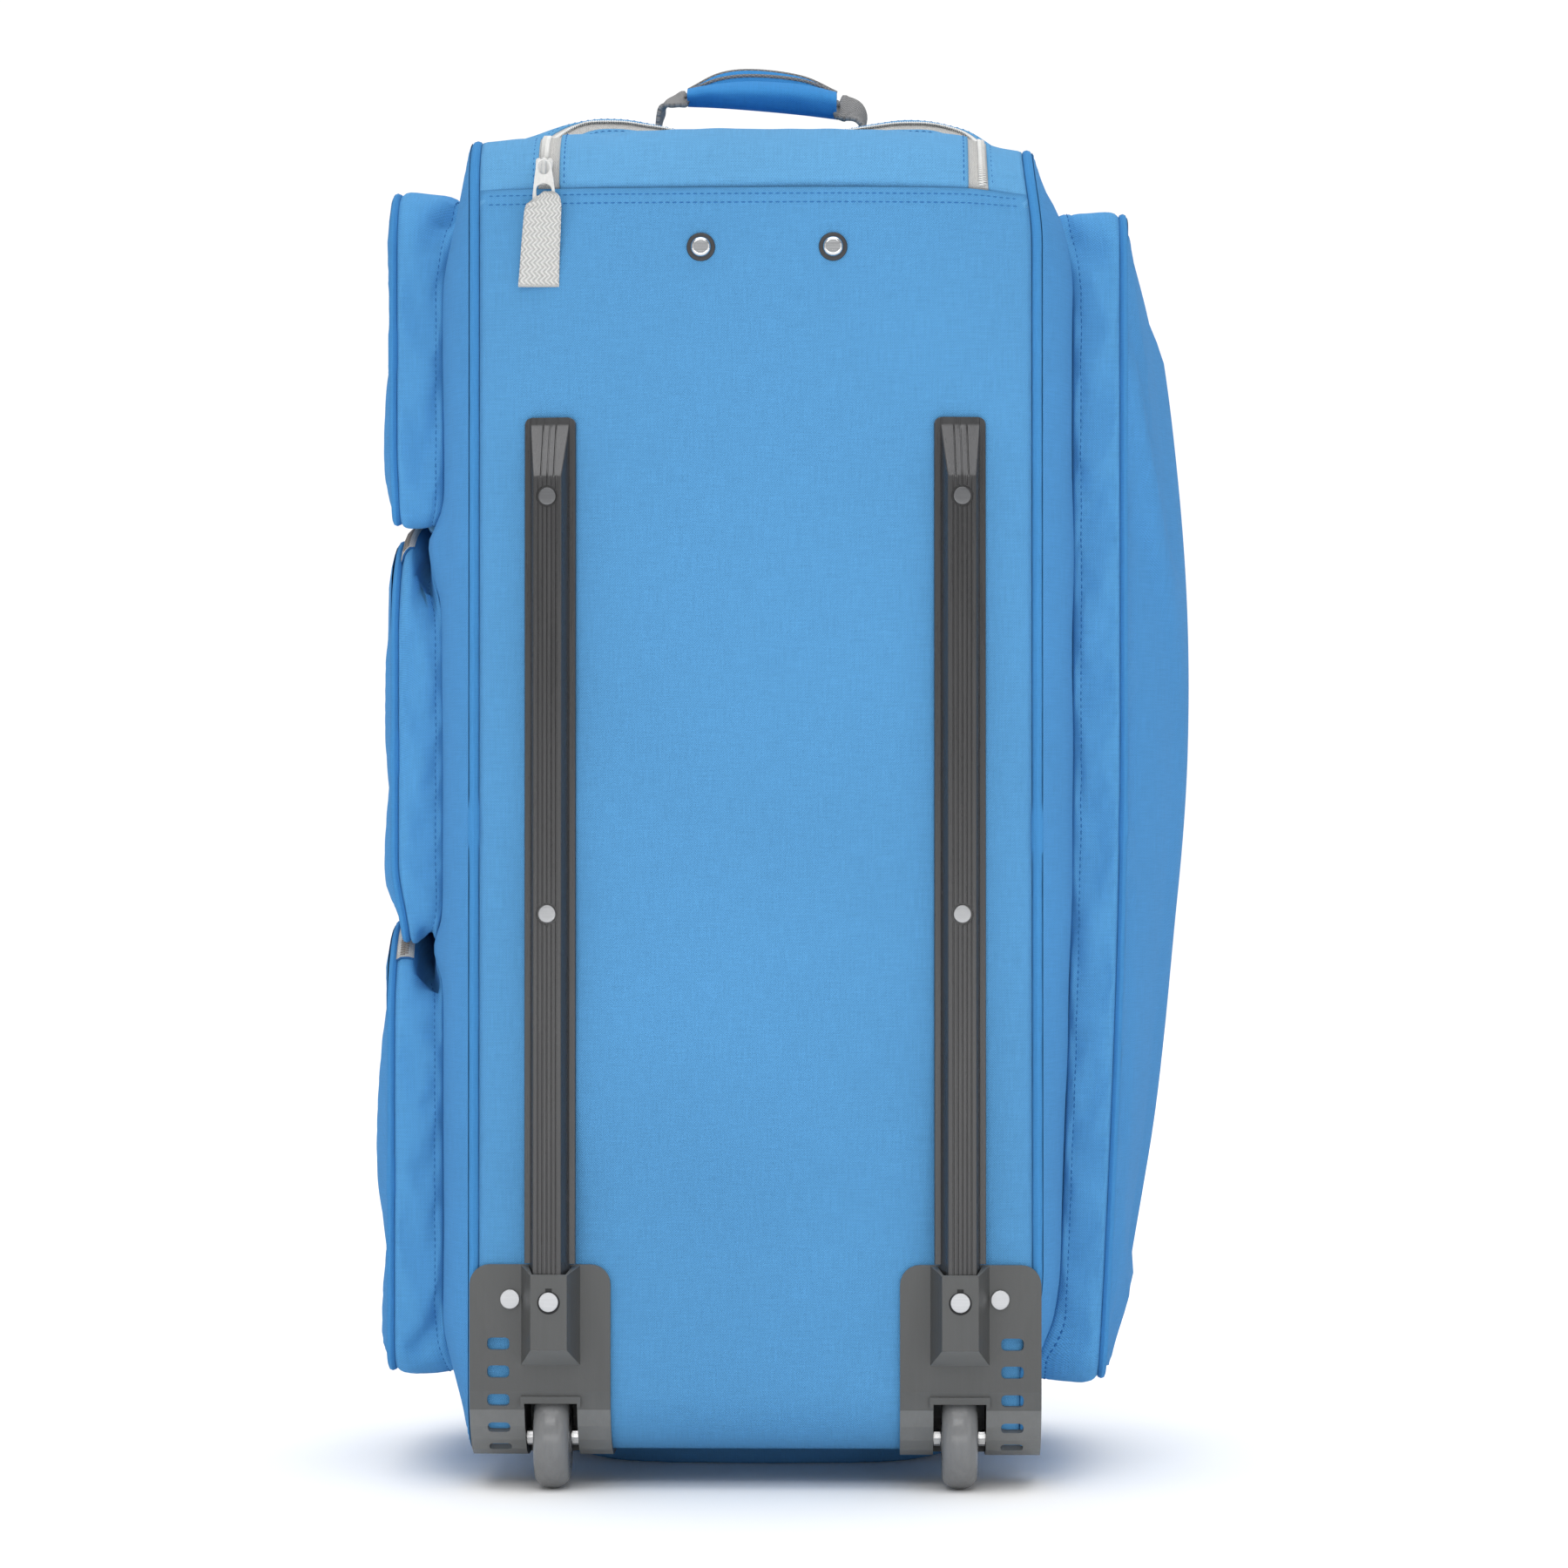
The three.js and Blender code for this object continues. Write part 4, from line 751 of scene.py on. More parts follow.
def head_sheet(stations, xs, lift=0.0):
    points = strip(stations, xs, lift)
    y = stations[:, 0]
    share = smooth(40, 80, y) * (1 - smooth(84, 120, y)) * np.maximum(0, stations[:, 3])
    humps = sum(h["up"] * np.exp(-((xs - h["x"]) / h["reach"]) ** 2) for h in HUMPS)
    points[..., 2] += share[:, None] * humps[None]
    return points


def flap_distance(x, y, inset):
    """Distance outside the round-cornered U of the zip, drawn in by an inset."""
    half, far = (FLAP[key] + FLAP["tape"] - inset for key in ("half", "deep"))
    qx = np.abs(x - FLAP["x"]) - (half - FLAP["corner"])
    qy = y - (far - FLAP["corner"])
    outside = np.hypot(np.maximum(qx, 0), np.maximum(qy, 0))
    return outside + np.minimum(np.maximum(qx, qy), 0) - FLAP["corner"]


def head_lift(x, run):
    lift = 0.8 * waves(x, run, 95, 31) + 0.25 * waves(x, run, 34, 32)
    crease = (x + 92) * 0.8 + (run - 62) * 0.55
    lift = lift - 1.5 * np.exp(-(crease / 7) ** 2) * np.exp(-((x + 80) / 26) ** 2)
    lift = lift * smooth(12, 30, run) * smooth(head_run[-1], head_run[-1] - 40, run)
    return lift * smooth(STRIP_X, STRIP_X - 22, np.abs(x))


head_soft = head_lift(head_xs[None], head_run[:, None]) + edge_puckers(head_xs, head_run, 14)
head_form = head_sheet(head_stations, head_xs, head_soft)
flap_form = head_sheet(head_stations, head_xs, head_soft + 0.8)
tape_form = head_sheet(head_stations, head_xs, head_soft - 0.5)
plan = head_form[..., 0], head_form[..., 1]
surround = Stack().add(*clipped(head_form, head_uv, flap_distance(*plan, FLAP["outer"])))
thicken(piece("head_surround_cloth", surround, LIT_HEAD_BLUE, ["head_end_panel"]), CLOTH_THICK)
flap = Stack().add(*clipped(flap_form, head_uv, -flap_distance(*plan, FLAP["inner"])))
thicken(piece("head_flap_cloth", flap, LIT_HEAD_BLUE, ["head_flap"]), 1.6)
tape_field = np.minimum(flap_distance(*plan, FLAP["inner"] + 2), -flap_distance(*plan, FLAP["outer"] - 2))
head_tape = Stack().add(*clipped(tape_form, head_uv, tape_field))
piece("head_zip_tape", head_tape, TAPE, ["head_zip"])


def on_head(x, run, lift=0.0):
    """Places on the handle end, from their x and their distance along the sheet."""
    x, run = np.atleast_1d(x), np.atleast_1d(run)
    stations = np.stack([np.interp(run, head_run, column) for column in head_stations.T], axis=1)
    stations[:, 2:4] = unit(stations[:, 2:4])
    lifts = head_lift(x, run) + lift
    points = np.stack([head_sheet(s[None], np.array([v]), d)[0, 0] for s, v, d in zip(stations, x, lifts)])
    return points, np.stack([0 * x, stations[:, 2], stations[:, 3]], axis=1)


def flap_path(inset, step=2.0):
    """Line that follows the U of the zip at an inset: x and distance along the sheet."""
    half, far = (FLAP[key] + FLAP["tape"] - inset for key in ("half", "deep"))
    level = head_run[LAP_ROWS + BROW_ROWS] - CORNER_BASE_HEAD
    turn = np.radians(np.arange(0, 91, 6))
    leg = np.arange(head_run[LAP_ROWS] + 1, far - FLAP["corner"] + level, step)
    corner_x = half - FLAP["corner"] + FLAP["corner"] * np.cos(turn)
    corner_run = far - FLAP["corner"] + level + FLAP["corner"] * np.sin(turn)
    across = np.arange(half - FLAP["corner"] - step, 0, -step)
    side_x = np.concatenate([np.full_like(leg, half), corner_x, across])
    side_run = np.concatenate([leg, corner_run, np.full_like(across, far + level)])
    x = np.concatenate([-side_x, side_x[::-1]]) + FLAP["x"]
    return x, np.concatenate([side_run, side_run[::-1]])


coil_path, coil_normals = on_head(*flap_path(FLAP["tape"]), -0.3)
piece("head_zip_coil", coil_rows(coil_path, coil_normals), COIL)


# Stitches sunk a little into the cloth at both ends
def stitch_row(stack, path, normals, length=2.7, gap=1.1, fat=0.32):
    run = lengths(path)[-1]
    starts = np.arange(1, run - length, length + gap)
    tangents = np.gradient(path, axis=0)
    rows = []
    for share, lift in ((0, -0.25), (0.5, 0.28), (1, -0.25)):
        at, _, up, across = path_frames(path, tangents, normals, starts + share * length)
        ring = [at + up * (lift + fat * math.sin(a)) + across * (fat * 1.1 * math.cos(a))
                for a in np.arange(4) * math.pi / 2]
        rows.append(np.stack(ring, axis=1))
    for stitch in np.stack(rows, axis=1):
        stack.grid(stitch, wrap=True)
    return stack


def on_base(x, z):
    """Places on the soft surface of the base."""
    x, z = np.broadcast_arrays(np.asarray(x, float), np.asarray(z, float))
    amount = base_bulge(z) * swell(x) + base_lift(x, z)
    return np.stack([x, -amount, z], axis=-1), np.tile([0.0, -1.0, 0.0], (x.size, 1))


base_stitches = Stack()
row_x = np.linspace(-STRIP_X + 4, STRIP_X - 4, 160)
for down in (3.4, 8.2):
    stitch_row(base_stitches, *on_base(row_x, BASE_HIGH - down))
piece("base_stitches", base_stitches, THREAD)
head_stitches = Stack()
for inset, lift in ((FLAP["outer"] - 2.6, -0.2), (FLAP["inner"] + 2.6, 0.8)):
    stitch_row(head_stitches, *on_head(*flap_path(inset), lift))
piece("head_stitches", head_stitches, THREAD)


# Side panels and their piping
def rounded_loop(y0, y1, z0, z1, radii, inset=0.0, corner=12, step=5.0, tall=None):
    """Round-cornered loop seen from the side: y, z and outward directions, as many at every inset."""
    spots = [
        (y1, z0, -1, 1, radii[2], 180), (y0, z0, 1, 1, radii[3], 270),
        (y0, z1, 1, -1, radii[0], 0), (y1, z1, -1, -1, radii[1], 90)]
    sides = [y1 - y0, tall or z1 - z0] * 2
    arcs = []
    for y, z, dy, dz, r, start in spots:
        radius = max(r - inset, 1.5)
        centre = (y + dy * (inset + radius), z + dz * (inset + radius))
        arcs.append(bend(centre, radius, start, start + 90, corner, lambda t: 0)[:, :4])
    loop = []
    for i, arc in enumerate(arcs):
        after = arcs[(i + 1) % 4]
        loop.append(arc)
        t = np.linspace(0, 1, max(2, int(sides[i] / step)) + 1)[1:-1, None]
        loop.append(lerp(arc[-1], after[0], t))
    return np.concatenate(loop)


def seam_loop(inset, step=5.0):
    radii = (CORNER_BASE_HEAD, CORNER_TOP, CORNER_TOP, CORNER_BASE_LOW)
    return rounded_loop(0, DEPTH, LOW, HEAD, radii, inset, step=step)


def seam_inset(y, z):
    """Distance of a place on the side from the bag's seam."""
    near, low = y < DEPTH / 2, z < (LOW + HEAD) / 2
    radius = np.where(near, np.where(low, CORNER_BASE_LOW, CORNER_BASE_HEAD), CORNER_TOP)
    dy, dz = np.where(near, y, DEPTH - y), np.where(low, z - LOW, HEAD - z)
    in_corner = (dy < radius) & (dz < radius)
    return np.where(in_corner, radius - np.hypot(radius - dy, radius - dz), np.minimum(dy, dz))


def side_tuck(z):
    """A side is drawn in at both ends of the bag."""
    return smooth(LOW + 8, LOW + 75, z) * (1 - smooth(HEAD - 85, HEAD, z))


def side_lean(side, z):
    """The right side leans in towards the wheels."""
    up = np.clip((np.asarray(z, float) - 60) / 350, 0, 1)
    return 0 * up if side < 0 else 12.5 * (1 - up) ** 1.6


def side_out(side, y, z):
    """How far a side panel stands out from its seam at a place."""
    share = np.clip(seam_inset(y, z) / 58, 0, 1)
    flat_out = SIDE_FLAT_X - SIDE_X
    full, drawn = flat_out * (1 - (1 - share) ** 2.6), 4 * (1 - (1 - share) ** 5)
    puff = sum(p["out"] * np.exp(-((z - p["z"]) / p["reach"]) ** 2) for p in SIDE_PUFFS) if side < 0 else 0
    puff = puff * smooth(25, POCKET_NEAR, y) * smooth(310, 275, y)
    return lerp(drawn, full, np.clip(side_tuck(z) - side_lean(side, z) / flat_out, 0, 1)) + puff


def closed_run(loop):
    return lengths(np.concatenate([loop, loop[:1]])[:, :2])


def cord_loop(loop, x, radius, lap, around=10, seed=5):
    """Piping cord round a loop, with the lap on its near side where its cover is joined."""
    loop = np.concatenate([loop, loop[:1]])
    run = lengths(loop[:, :2])
    up = loop[:, 1] - lap
    lapped = smooth(0, 1.5, up) * smooth(26, 20, up) * (loop[:, 2] < -0.5)
    fat = radius * (1 + 0.2 * lapped + 0.02 * waves(run, 0 * run, 40, seed))[:, None]
    angles = np.linspace(0, 2 * math.pi, around + 1)
    out = fat * np.cos(angles)
    across = np.broadcast_to(np.asarray(x, float), loop[:-1, 0].shape)
    across = np.concatenate([across, across[:1]])[:, None]
    rows = np.stack([
        across + fat * np.sin(angles), loop[:, 0:1] + loop[:, 2:3] * out,
        loop[:, 1:2] + loop[:, 3:4] * out], axis=-1)
    uv = stacked(angles[None] * radius, run[:, None])
    return Stack().grid(rows, uv, flip=True)


SIDE_INSETS = (0, 1.5, 3.5, 6, 9, 13, 18, 24, 32, 42, 56, 75, 95, 115, 135, 150, 160)
for word, side in SIDES:
    rows = []
    for inset in SIDE_INSETS:
        loop = seam_loop(inset, 6)
        run = closed_run(loop)[:-1]
        y, z = loop[:, 0], loop[:, 1]
        beat = np.sin(2 * math.pi * run / 14 + 2 * waves(run, 0 * run, 80, 41))
        pucker = 0.5 * math.exp(-inset / 10) * beat
        soft = 0.8 * waves(y, z, 130, 42 + side) * smooth(0, 30, inset) * smooth(60, 40, inset)
        x = SIDE_X + side_out(side, y, z) + pucker * smooth(0, 2, inset) + soft
        rows.append(np.stack([side * x, y, z], axis=1))
    rows = np.array(rows)
    side_stack = Stack().grid(rows, rows[..., 1:], wrap=True, flip=side < 0)
    middle = rows[-1]
    side_stack.add(middle, [np.arange(len(middle))[::side]], middle[:, 1:])
    piece(f"side_cloth_{word}", side_stack, SHADED_SIDE_BLUE, [f"side_panel_{word}"])
    seam = seam_loop(BODY_CORD["inset"], 4)
    piping = cord_loop(seam, side * SEAM_X, BODY_CORD["radius"], BODY_CORD["laps"][side])
    piece(f"body_piping_cord_{word}", piping, PIPING_BLUE, [f"body_piping_{word}"])


# Pockets: gusset wall, piping and front, let down by a short cloth simulation between their seams
GUSSET_ROWS = table(
    "share inset shoulder",
    (0, 0.8, 0), (0.04, -1.0, 0), (0.15, -1.6, 0), (0.185, -1.2, 0), (0.23, -1.9, 0.01), (0.4, -3.0, 0.04),
    (0.75, -3.5, 0.34), (0.93, -2.6, 0.84), (1.0, -0.4, 1.0))
GUSSET_SHARES = np.array([
    0, 0.025, 0.06, 0.11, 0.15, 0.185, 0.22, 0.3, 0.4, 0.5, 0.6, 0.7, 0.8, 0.88, 0.94, 0.975, 1])
ZIP_ROWS = slice(10, 16)
COIL_ROW = 2
STITCHED_ROW = 5
FRONT_INSETS = np.array([0, 2, 5, 9, 14, 20, 27, 35, 44, 54, 65, 77, 90, 100])
FOLDS = table(
    "pocket start stop wide deep",
    ("pocket_left_upper", (0.02, 719), (0.32, 714), 4, 6),
    ("pocket_left_upper", (0.2, 711), (0.42, 699), 7, 4),
    ("pocket_left_upper", (0.05, 728), (0.14, 728), 4, 4),
    ("pocket_left_upper", (0.5, 548), (0.9, 552), 6, 2),
    ("pocket_left_middle", (0.5, 504), (0.14, 489), 4.5, 6),
    ("pocket_left_middle", (0.8, 470), (0.5, 430), 9, 2),
    ("pocket_left_middle", (0.2, 303), (0.42, 305), 6, 5),
    ("pocket_left_lower", (0.55, 270), (0.15, 252), 7, 3),
    ("pocket_left_lower", (0.6, 74), (0.05, 92), 5, 5.5),
    ("pocket_right", (0.1, 702), (0.4, 692), 8, 3.5),
    ("pocket_right", (0.55, 80), (0.5, 250), 6, 1.2),
    ("pocket_right", (0.45, 330), (0.4, 560), 6, 1.6))
HOLLOWS = table(
    "pocket low rise deep", ("pocket_left_middle", 490, 36, 25), ("pocket_left_lower", 268, 22, 27))


def fold_depth(fold, share, z, edge):
    """How far a pressed fold draws the cloth in, by distance from its line."""
    ax, az = fold["start"][0] * edge, fold["start"][1]
    bx, bz = fold["stop"][0] * edge - ax, fold["stop"][1] - az
    px, pz = share * edge - ax, z - az
    t = np.clip((px * bx + pz * bz) / (bx * bx + bz * bz), 0, 1)
    away = np.hypot(px - t * bx, pz - t * bz)
    return fold["deep"] * np.exp(-(away / fold["wide"]) ** 2)


def hollow_depth(hollow, share, z):
    """The drawn-in place beside the seam under an arched top."""
    above = smooth(0, 18, z - hollow["low"] - hollow["rise"] * share)
    return hollow["deep"] * above * (1 - smooth(0.44, 0.58, share))


def pocket_loop(pocket, inset, shoulder, step=POCKET_STEP):
    radii = (pocket["high_r"], pocket["high_r"], pocket["low_r"], pocket["low_r"])
    low, high = pocket["low"], pocket["high"] - pocket["shoulder"] * shoulder
    tall = pocket["high"] - low
    loop = rounded_loop(POCKET_NEAR, POCKET_FAR, low, high, radii, inset, POCKET_CORNER, step, tall)
    raised = pocket["tuck"] * smooth(POCKET_NEAR + 5, POCKET_NEAR + 60, loop[:, 0])
    loop[:, 1] += raised * smooth(low + 80, low, loop[:, 1])
    return loop


def pocket_edge(pocket, z):
    """How far out the seam between a pocket's gusset and its front lies."""
    drawn = pocket["draw"] * smooth(pocket["low"] + 45, pocket["low"], z)
    return SIDE_FLAT_X + pocket["edge"] - side_lean(pocket["side"], z) - drawn


def gusset_column(name):
    shares, values = zip(*[(row["share"], row[name]) for row in GUSSET_ROWS])
    return np.interp(GUSSET_SHARES, shares, values)


def gusset_form(pocket):
    """Plain form of a gusset: rows out from the side panel, columns round the pocket."""
    rows = []
    side = pocket["side"]
    for share, inset, shoulder in zip(GUSSET_SHARES, gusset_column("inset"), gusset_column("shoulder")):
        loop = pocket_loop(pocket, inset, shoulder)
        y, z = loop[:, 0].copy(), loop[:, 1].copy()
        rim = SIDE_X + side_out(side, y, z) + SEAM_GAP
        x = lerp(rim, pocket_edge(pocket, z), share)
        near = smooth(POCKET_NEAR + 100, POCKET_NEAR + 45, y)
        deep = sum(fold_depth(f, share, z, pocket["edge"]) for f in FOLDS if f["pocket"] == pocket["name"])
        deep = deep + sum(hollow_depth(h, share, z) for h in HOLLOWS if h["pocket"] == pocket["name"])
        soft = 0.9 * waves(y + z, 60 * share + 0 * z, 70, 51 + side) * 4 * share * (1 - share)
        soft = soft - deep * near * smooth(0.02, 0.12, share) * smooth(1, 0.9, share)
        y, z = y + loop[:, 2] * soft, z + loop[:, 3] * soft
        rows.append(np.stack([side * x, y, z], axis=1))
    return np.array(rows)


def front_swell(pocket, y, z):
    v = np.abs((2 * y - POCKET_NEAR - POCKET_FAR) / (POCKET_FAR - POCKET_NEAR))
    t = np.clip((z - pocket["low"]) / (pocket["high"] - pocket["shoulder"] - pocket["low"]), 0, 1)
    power = 0.75 - 0.12 * np.exp(-((t - 0.89) / 0.1) ** 2)
    return np.maximum(0, 1 - v ** 2.4) * np.maximum(0, np.sin(math.pi * t ** 1.35)) ** power


def front_form(pocket):
    """Plain form of a pocket front: rings from its seam to its middle."""
    rows = []
    half = (pocket["high"] - pocket["shoulder"] - pocket["tuck"] - pocket["low"]) / 2
    for inset in FRONT_INSETS * min(1, (half - 6) / 100):
        loop = pocket_loop(pocket, inset, 1.0)
        y, z = loop[:, 0], loop[:, 1]
        x = pocket_edge(pocket, z) + 4.6 + 2.5 * smooth(0, 9, inset)
        full = pocket["fill"] * smooth(70, 115, z) * smooth(330, 180, z) * smooth(0, 12, inset)
        x = x + pocket["bulge"] * front_swell(pocket, y, z) + full
        rows.append(np.stack([pocket["side"] * x, y, z], axis=1))
    return np.array(rows)


def middle_faces(count):
    """Faces inside a front's innermost ring: a ladder from near to far and a cap at both ends."""
    cap = 2 * POCKET_CORNER + int((POCKET_FAR - POCKET_NEAR) / POCKET_STEP)
    near = np.arange(cap, count // 2 + 1)
    far = (cap - near) % count
    ladder = np.stack([near[:-1], near[1:], far[1:], far[:-1]], axis=1)
    return [*ladder, np.arange(cap + 1), np.arange(cap + 1) + near[-1]]


def front_stack(form, uv=None, flip=False):
    """A pocket front with its middle closed."""
    stack = Stack().grid(form, uv, wrap=True, flip=flip)
    rows, count = form.shape[:2]
    for face in middle_faces(count):
        inner = face + (rows - 1) * count
        stack.faces.append((inner[::-1] if flip else inner).tolist())
    return stack


OXFORD = dict(
    quality=6, mass=0.35, tension_stiffness=30, compression_stiffness=20, shear_stiffness=12,
    bending_stiffness=2.5, shrink_min=-0.012, use_pressure=True, uniform_pressure_force=0.5)
SETTLE_FRAMES = 18
SETTLE_REACH = 4


def settle(forms, pins):
    """Lets sewn panels sag and pucker between their pinned seams and gives their points back."""
    stack = Stack()
    for gusset, front in zip(forms[::2], forms[1::2]):
        stack.grid(gusset, wrap=True)
        closed = front_stack(front)
        stack.add(closed.points[0], closed.faces)
    mesh = bpy.data.meshes.new("settling")
    mesh.from_pydata((np.concatenate(stack.points) / 1000).tolist(), [], stack.faces)
    obj = bpy.data.objects.new("settling", mesh)
    scene.collection.objects.link(obj)
    group = obj.vertex_groups.new(name="seams")
    for weight in np.unique(pins):
        if weight > 0:
            group.add(np.flatnonzero(pins == weight).tolist(), float(weight), "REPLACE")
    cloth = obj.modifiers.new("cloth", "CLOTH")
    cloth.settings.vertex_group_mass = "seams"
    for key, value in OXFORD.items():
        setattr(cloth.settings, key, value)
    cloth.settings.effector_weights.gravity = 0.35
    cloth.collision_settings.use_collision = False
    cloth.point_cache.frame_start = 1
    cloth.point_cache.frame_end = SETTLE_FRAMES
    for number in range(1, SETTLE_FRAMES + 1):
        scene.frame_set(number)
    settled = obj.evaluated_get(bpy.context.evaluated_depsgraph_get())
    points = np.empty(len(mesh.vertices) * 3)
    settled.data.vertices.foreach_get("co", points)
    points = points.reshape(-1, 3) * 1000
    bpy.data.objects.remove(obj)
    bpy.data.meshes.remove(mesh)
    scene.frame_set(1)
    return points


forms = []
pins = []
loose = []
for pocket in POCKETS:
    gusset, front = gusset_form(pocket), front_form(pocket)
    gusset_pins = np.zeros(gusset.shape[:2])
    gusset_pins[[0, 1, 2, -3, -2, -1]] = 1
    front_pins = np.zeros(front.shape[:2])
    front_pins[0] = 1
    front_loose = np.broadcast_to(smooth(70, 40, FRONT_INSETS)[:, None], front.shape[:2])
    forms += [gusset, front]
    pins += [gusset_pins.ravel(), front_pins.ravel()]
    loose += [np.ones(gusset_pins.size), front_loose.ravel()]
plain = np.concatenate([form.reshape(-1, 3) for form in forms])
settled = settle(forms, np.concatenate(pins))
moved = (settled - plain) * np.concatenate(loose)[:, None]
reach = np.linalg.norm(moved, axis=1, keepdims=True)
settled = plain + moved * np.minimum(1, SETTLE_REACH / np.maximum(reach, 1e-6))

place = 0
pocket_stitches = Stack()
for number, pocket in enumerate(POCKETS):
    side, name = pocket["side"], pocket["name"]
    shapes = []
    for form in forms[2 * number: 2 * number + 2]:
        count = form.shape[0] * form.shape[1]
        shapes.append(settled[place: place + count].reshape(form.shape))
        place += count
    gusset, front = shapes
    ring = np.concatenate([gusset, gusset[:, :1]], axis=1)
    gusset_uv = stacked(GUSSET_SHARES[:, None] * pocket["edge"], lengths(ring[0])[None])
    gusset_stack = Stack().grid(ring, gusset_uv, flip=side < 0)
    piece(f"{name}_gusset_cloth", gusset_stack, LIT_GUSSET_BLUE, [f"{name}_gusset"])
    sheet = front_stack(front, front[..., 1:], side < 0)
    piece(f"{name}_front_cloth", sheet, SHADED_SIDE_BLUE, [f"{name}_front"])
    loop = pocket_loop(pocket, POCKET_CORD["inset"], 1.0, 4)
    x = side * (pocket_edge(pocket, loop[:, 1]) + POCKET_CORD["out"])
    cord = cord_loop(loop, x, POCKET_CORD["radius"], pocket["lap"], 8, number)
    piece(f"{name}_piping_cord", cord, PIPING_BLUE, [f"{name}_piping"])
    ring_normals = grid_normals(ring) * side
    stitch_row(pocket_stitches, ring[STITCHED_ROW], ring_normals[STITCHED_ROW])
    if pocket["zip"]:
        upper = np.flatnonzero(pocket_loop(pocket, 0, 0)[:, 1] > pocket["high"] - pocket["zip"])
        normals = ring_normals[ZIP_ROWS, upper]
        band = ring[ZIP_ROWS, upper] + 0.7 * normals
        tape = Stack().grid(band, gusset_uv[ZIP_ROWS, upper], flip=side < 0)
        thicken(piece(f"{name}_zip_tape", tape, TAPE, [f"{name}_zip"]), 0.8)
        coil = coil_rows(band[COIL_ROW], normals[COIL_ROW], 2.6, 1.8, 0.9)
        piece(f"{name}_zip_coil", coil, SHADED_COIL)
        ends = Stack()
        for end in (0, -1):
            tube(ends, band[:, end], 0.7, 8)
        piece(f"{name}_zip_ends", ends, THREAD)
piece("pocket_stitches", pocket_stitches, THREAD)


# Runners: flange, sloping sides and a grooved top, cut down along the ramp
def rail_section(z):
    high = np.interp(z, [RAIL["ramp"], RAIL["ramp_end"]], [RAIL["height"], RAIL["ramp_h"]])
    beyond = max(0.0, z - RAIL["high"] + RAIL["corner"])
    rounded = RAIL["corner"] - math.sqrt(max(0.0, RAIL["corner"] ** 2 - beyond ** 2))
    edge = (RAIL["flange"] if z >= RAIL["neck"] else RAIL["foot"]) - rounded
    foot = min(RAIL["foot"], edge - 0.4)
    half = min(np.interp(high, [RAIL["flange_h"], RAIL["height"]], [RAIL["foot"], RAIL["top"]]), edge - 0.7)
    side = [
        (edge, 0), (edge, RAIL["flange_h"] - 0.5), (edge - 0.3, RAIL["flange_h"]),
        (foot, RAIL["flange_h"] + 0.2), (half + 0.1, high - 0.35), (half - 0.35, high)]
    on_ramp = smooth(RAIL["ramp"] - 0.5, RAIL["ramp"] + 0.5, z)
    fading = smooth(RAIL["ramp_end"] + 0.5, RAIL["ramp_end"] - 3, z)
    notch = ((-0.5, 0), (-0.25, 1), (0.25, 1), (0.5, 0))
    top = []
    for groove in RAIL_GROOVES:
        deep = lerp(groove["flat"], groove["ramp"], on_ramp) * fading
        top += [(groove["x"] + dx, high - deep * share) for dx, share in notch]
    return [(-x, out) for x, out in side] + top + side[::-1]


def on_rail(side, x, out, z):
    """Places given across, out and up from a runner's seat, in the bag's frame."""
    tilt = side * RAIL_TILT
    seat = BASE_BULGE * swell(RAIL_X) + SEAM_GAP
    return stacked(
        side * RAIL_X + x * math.cos(tilt) + out * math.sin(tilt),
        -seat + x * math.sin(tilt) - out * math.cos(tilt), z)


def disc(radius, high, edge):
    """Rows of a flat-topped round head with a soft edge."""
    turn = np.radians(np.arange(90, -1, -18))
    rim = [(radius - edge + edge * math.cos(a), high - edge + edge * math.sin(a)) for a in turn]
    return [(0.01, high), (radius * 0.5, high), *rim, (radius, -0.4)]


rail_zs = np.concatenate([
    [RAIL["low"], RAIL["neck"] - 0.05, RAIL["neck"]], np.linspace(150, RAIL["ramp"] - 0.6, 14),
    np.linspace(RAIL["ramp"] + 0.6, RAIL["ramp_end"] - 3.2, 8),
    [RAIL["ramp_end"] - 1, RAIL["ramp_end"] + 0.1],
    RAIL["high"] - RAIL["corner"] * (1 - np.sin(np.radians([10, 30, 50, 70, 90])))])
for word, side in SIDES:
    sections = np.array([rail_section(z) for z in rail_zs])
    form = on_rail(side, sections[..., 0], sections[..., 1], rail_zs[:, None])
    count = form.shape[1]
    rail = Stack().grid(form, wrap=True)
    rail.faces += [list(range(count))[::-1], list(range((len(form) - 1) * count, len(form) * count))]
    floor_out = RAIL["height"] - RECESS["deep"]
    drills = []
    for rivet in RAIL_RIVETS:
        drill = Stack()
        rows = [(RECESS["radius"], 4), (RECESS["radius"], 0)]
        turned(drill, rows, on_rail(side, 0, floor_out, rivet["z"]), side * RAIL_TILT)
        drill.faces += [list(range(32)), list(range(32, 64))[::-1]]
        drills.append(drill)
    piece(f"runner_{word}", carved(rail, *drills), RAIL_PAINT, [f"rail_{word}"], crease=28)
    for rivet in RAIL_RIVETS:
        seat = on_rail(side, 0, floor_out + 0.2, rivet["z"])
        head = turned(Stack(), disc(**RAIL_HEAD), seat, side * RAIL_TILT)
        # the upper heads take the darker copy of the steel: painted shade
        material = RAIL_STEEL if rivet["name"] == "lower" else SHADED_RAIL_STEEL
        name = f"rail_rivet_{word}_{rivet['name']}"
        piece(f"{name}_head", head, material, [name], crease=50)
    for rivet in HOUSING_RIVETS:
        place = np.array([side * (RAIL_X + rivet["x"]), -rivet["out"] - 0.2, rivet["z"]])
        name = f"housing_rivet_{word}_{rivet['name']}"
        head = turned(Stack(), disc(**HOUSING_HEAD), place)
        piece(f"{name}_head", head, STEEL, [name], crease=50)

